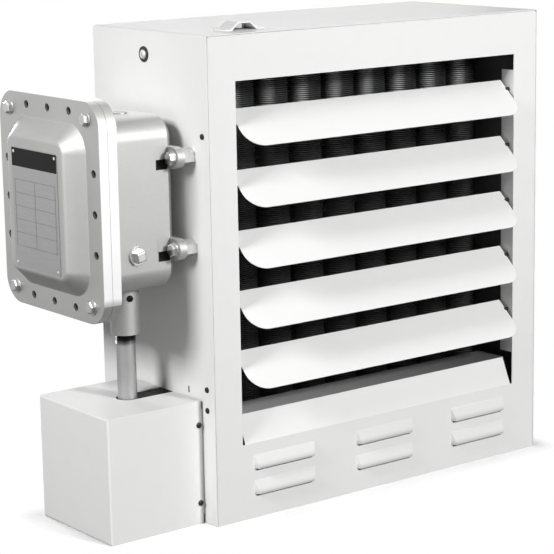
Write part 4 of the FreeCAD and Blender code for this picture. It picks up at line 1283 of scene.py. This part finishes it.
# Making the pieces
finished_copy("cabinet", SHEET_EDGE, finish=cabinet_white)
finished_copy("front_panel", SHEET_EDGE, smooth=PANEL_SHADE_ANGLE, finish=vented_white, cutter=vent_gaps())
for name in ("bottom_pan", "rear_panel", "terminal_cover", "hanger_hood", "louvre_strip_left",
             "louvre_strip_right", "cover_angles", "motor_spider"):
    finished_copy(name, SHEET_EDGE)
for joint in frame["joints"]:
    if joint["child"].startswith("louvre"):
        louvre_blade(joint)
finished_copy("enclosure_cover", CAST_EDGE, finish=cast_highlit_shaded)
finished_copy("enclosure_body", finish=cast_highlit_shaded)
finished_copy("top_plug", MACHINED_EDGE, finish=plain_steel)
lug_webs()
for name in ("hanger_nut", "terminal_cap", "terminal_housing", "element_flange", "motor_box",
             "motor_box_cover", "core_saddles", "core_brackets"):
    finished_copy(name, MACHINED_EDGE)
for name in ("fan", "motor_shaft", "core_tubes", "heating_elements"):
    finished_copy(name)
for name in ("top_header", "bottom_header"):
    finished_copy(name, finish=tank_grey)
fin_stacks()
core_bolts()
sill_shelf()
hex_bolts("corner_bolts", CORNER_BOLT_SPINS, dull_zinc)
hex_bolts("lug_bolts", LUG_BOLT_SPINS, bright_zinc)
standoffs()
joint_screws()
side_plug()
conduit()
slot_shade_sheet()
hub_screw()
cover_plate()
sheet_screws()
wall_mark()
fan_guard()
motor_frame()
motor_bells()
spider_bolts()
lid_screws()


# Stage
def floor():
    """Pale floor that keeps the shadow near the heater and fades to white further out."""
    clear_bench()
    bpy.ops.mesh.primitive_plane_add(size=2 * FLOOR_HALF, location=(0, 0, 0))
    plane = bpy.context.object
    plane.name = "floor"
    finish = Finish("floor_white", Roughness=0.9, Specular_IOR_Level=0.1)
    eye, mirror, through = finish.rays()
    finish.set("Base Color", finish.blend(eye, tone(FLOOR_BOUNCE), tone(FLOOR_SEEN)))
    spread = finish.outside(*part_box("cabinet"))
    spread = finish.maths("MINIMUM", spread, finish.outside(*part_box("terminal_cover")))
    near = finish.fade(spread, *FLOOR_FADE)
    far = finish.fade(spread, *FLOOR_MIRROR_FADE)
    glow = finish.node("Emission", sockets={"Color": tone(1.0), "Strength": 1.0})
    lit = Value(finish, finish.shader.outputs[0])
    finish.show(near * eye + far * (mirror + through), lit, glow, "Material Output")
    plane.data.materials.append(finish.material)


def sky():
    """White surround: low plain light on the heater, white wherever it is seen or mirrored."""
    world = bpy.data.worlds.new("white_surround")
    bpy.context.scene.world = world
    wiring = Wiring(world)
    light = wiring.tree.nodes["Background"]
    light.inputs["Color"].default_value = tone(1.0)
    light.inputs["Strength"].default_value = WORLD_LIGHT
    white = wiring.node("Background", sockets={"Color": tone(1.0)})
    eye, mirror, through = wiring.rays()
    seen = wiring.maths("MAXIMUM", wiring.maths("MAXIMUM", eye, mirror), through)
    wiring.show(seen, Value(wiring, light.outputs[0]), white, "World Output")


def lamp(name, place, aim, size, power):
    """Soft square lamp turned to a point."""
    data = bpy.data.lights.new(name, "AREA")
    data.size = size
    data.energy = power
    lamp_object = bpy.data.objects.new(name, data)
    bpy.context.scene.collection.objects.link(lamp_object)
    lamp_object.location = place
    lamp_object.rotation_euler = (Vector(aim) - Vector(place)).to_track_quat("-Z", "Y").to_euler()


def camera():
    """Camera at the photograph's viewing angle."""
    heading = Matrix.Rotation(-math.radians(CAMERA_HEADING), 4, "Z")
    drop = Matrix.Rotation(math.radians(CAMERA_LEVEL - CAMERA_DROP), 4, "X")
    roll = Matrix.Rotation(math.radians(CAMERA_ROLL), 4, "Z")
    data = bpy.data.cameras.new("view")
    data.lens = CAMERA_LENS
    data.sensor_width = CAMERA_SENSOR
    eye = bpy.data.objects.new("view", data)
    bpy.context.scene.collection.objects.link(eye)
    eye.matrix_world = Matrix.Translation(CAMERA_PLACE) @ heading @ drop @ roll
    bpy.context.scene.camera = eye


floor()
sky()
for name, settings in LAMPS.items():
    lamp(name, *settings)
camera()
bpy.context.scene.view_settings.view_transform = "Standard"
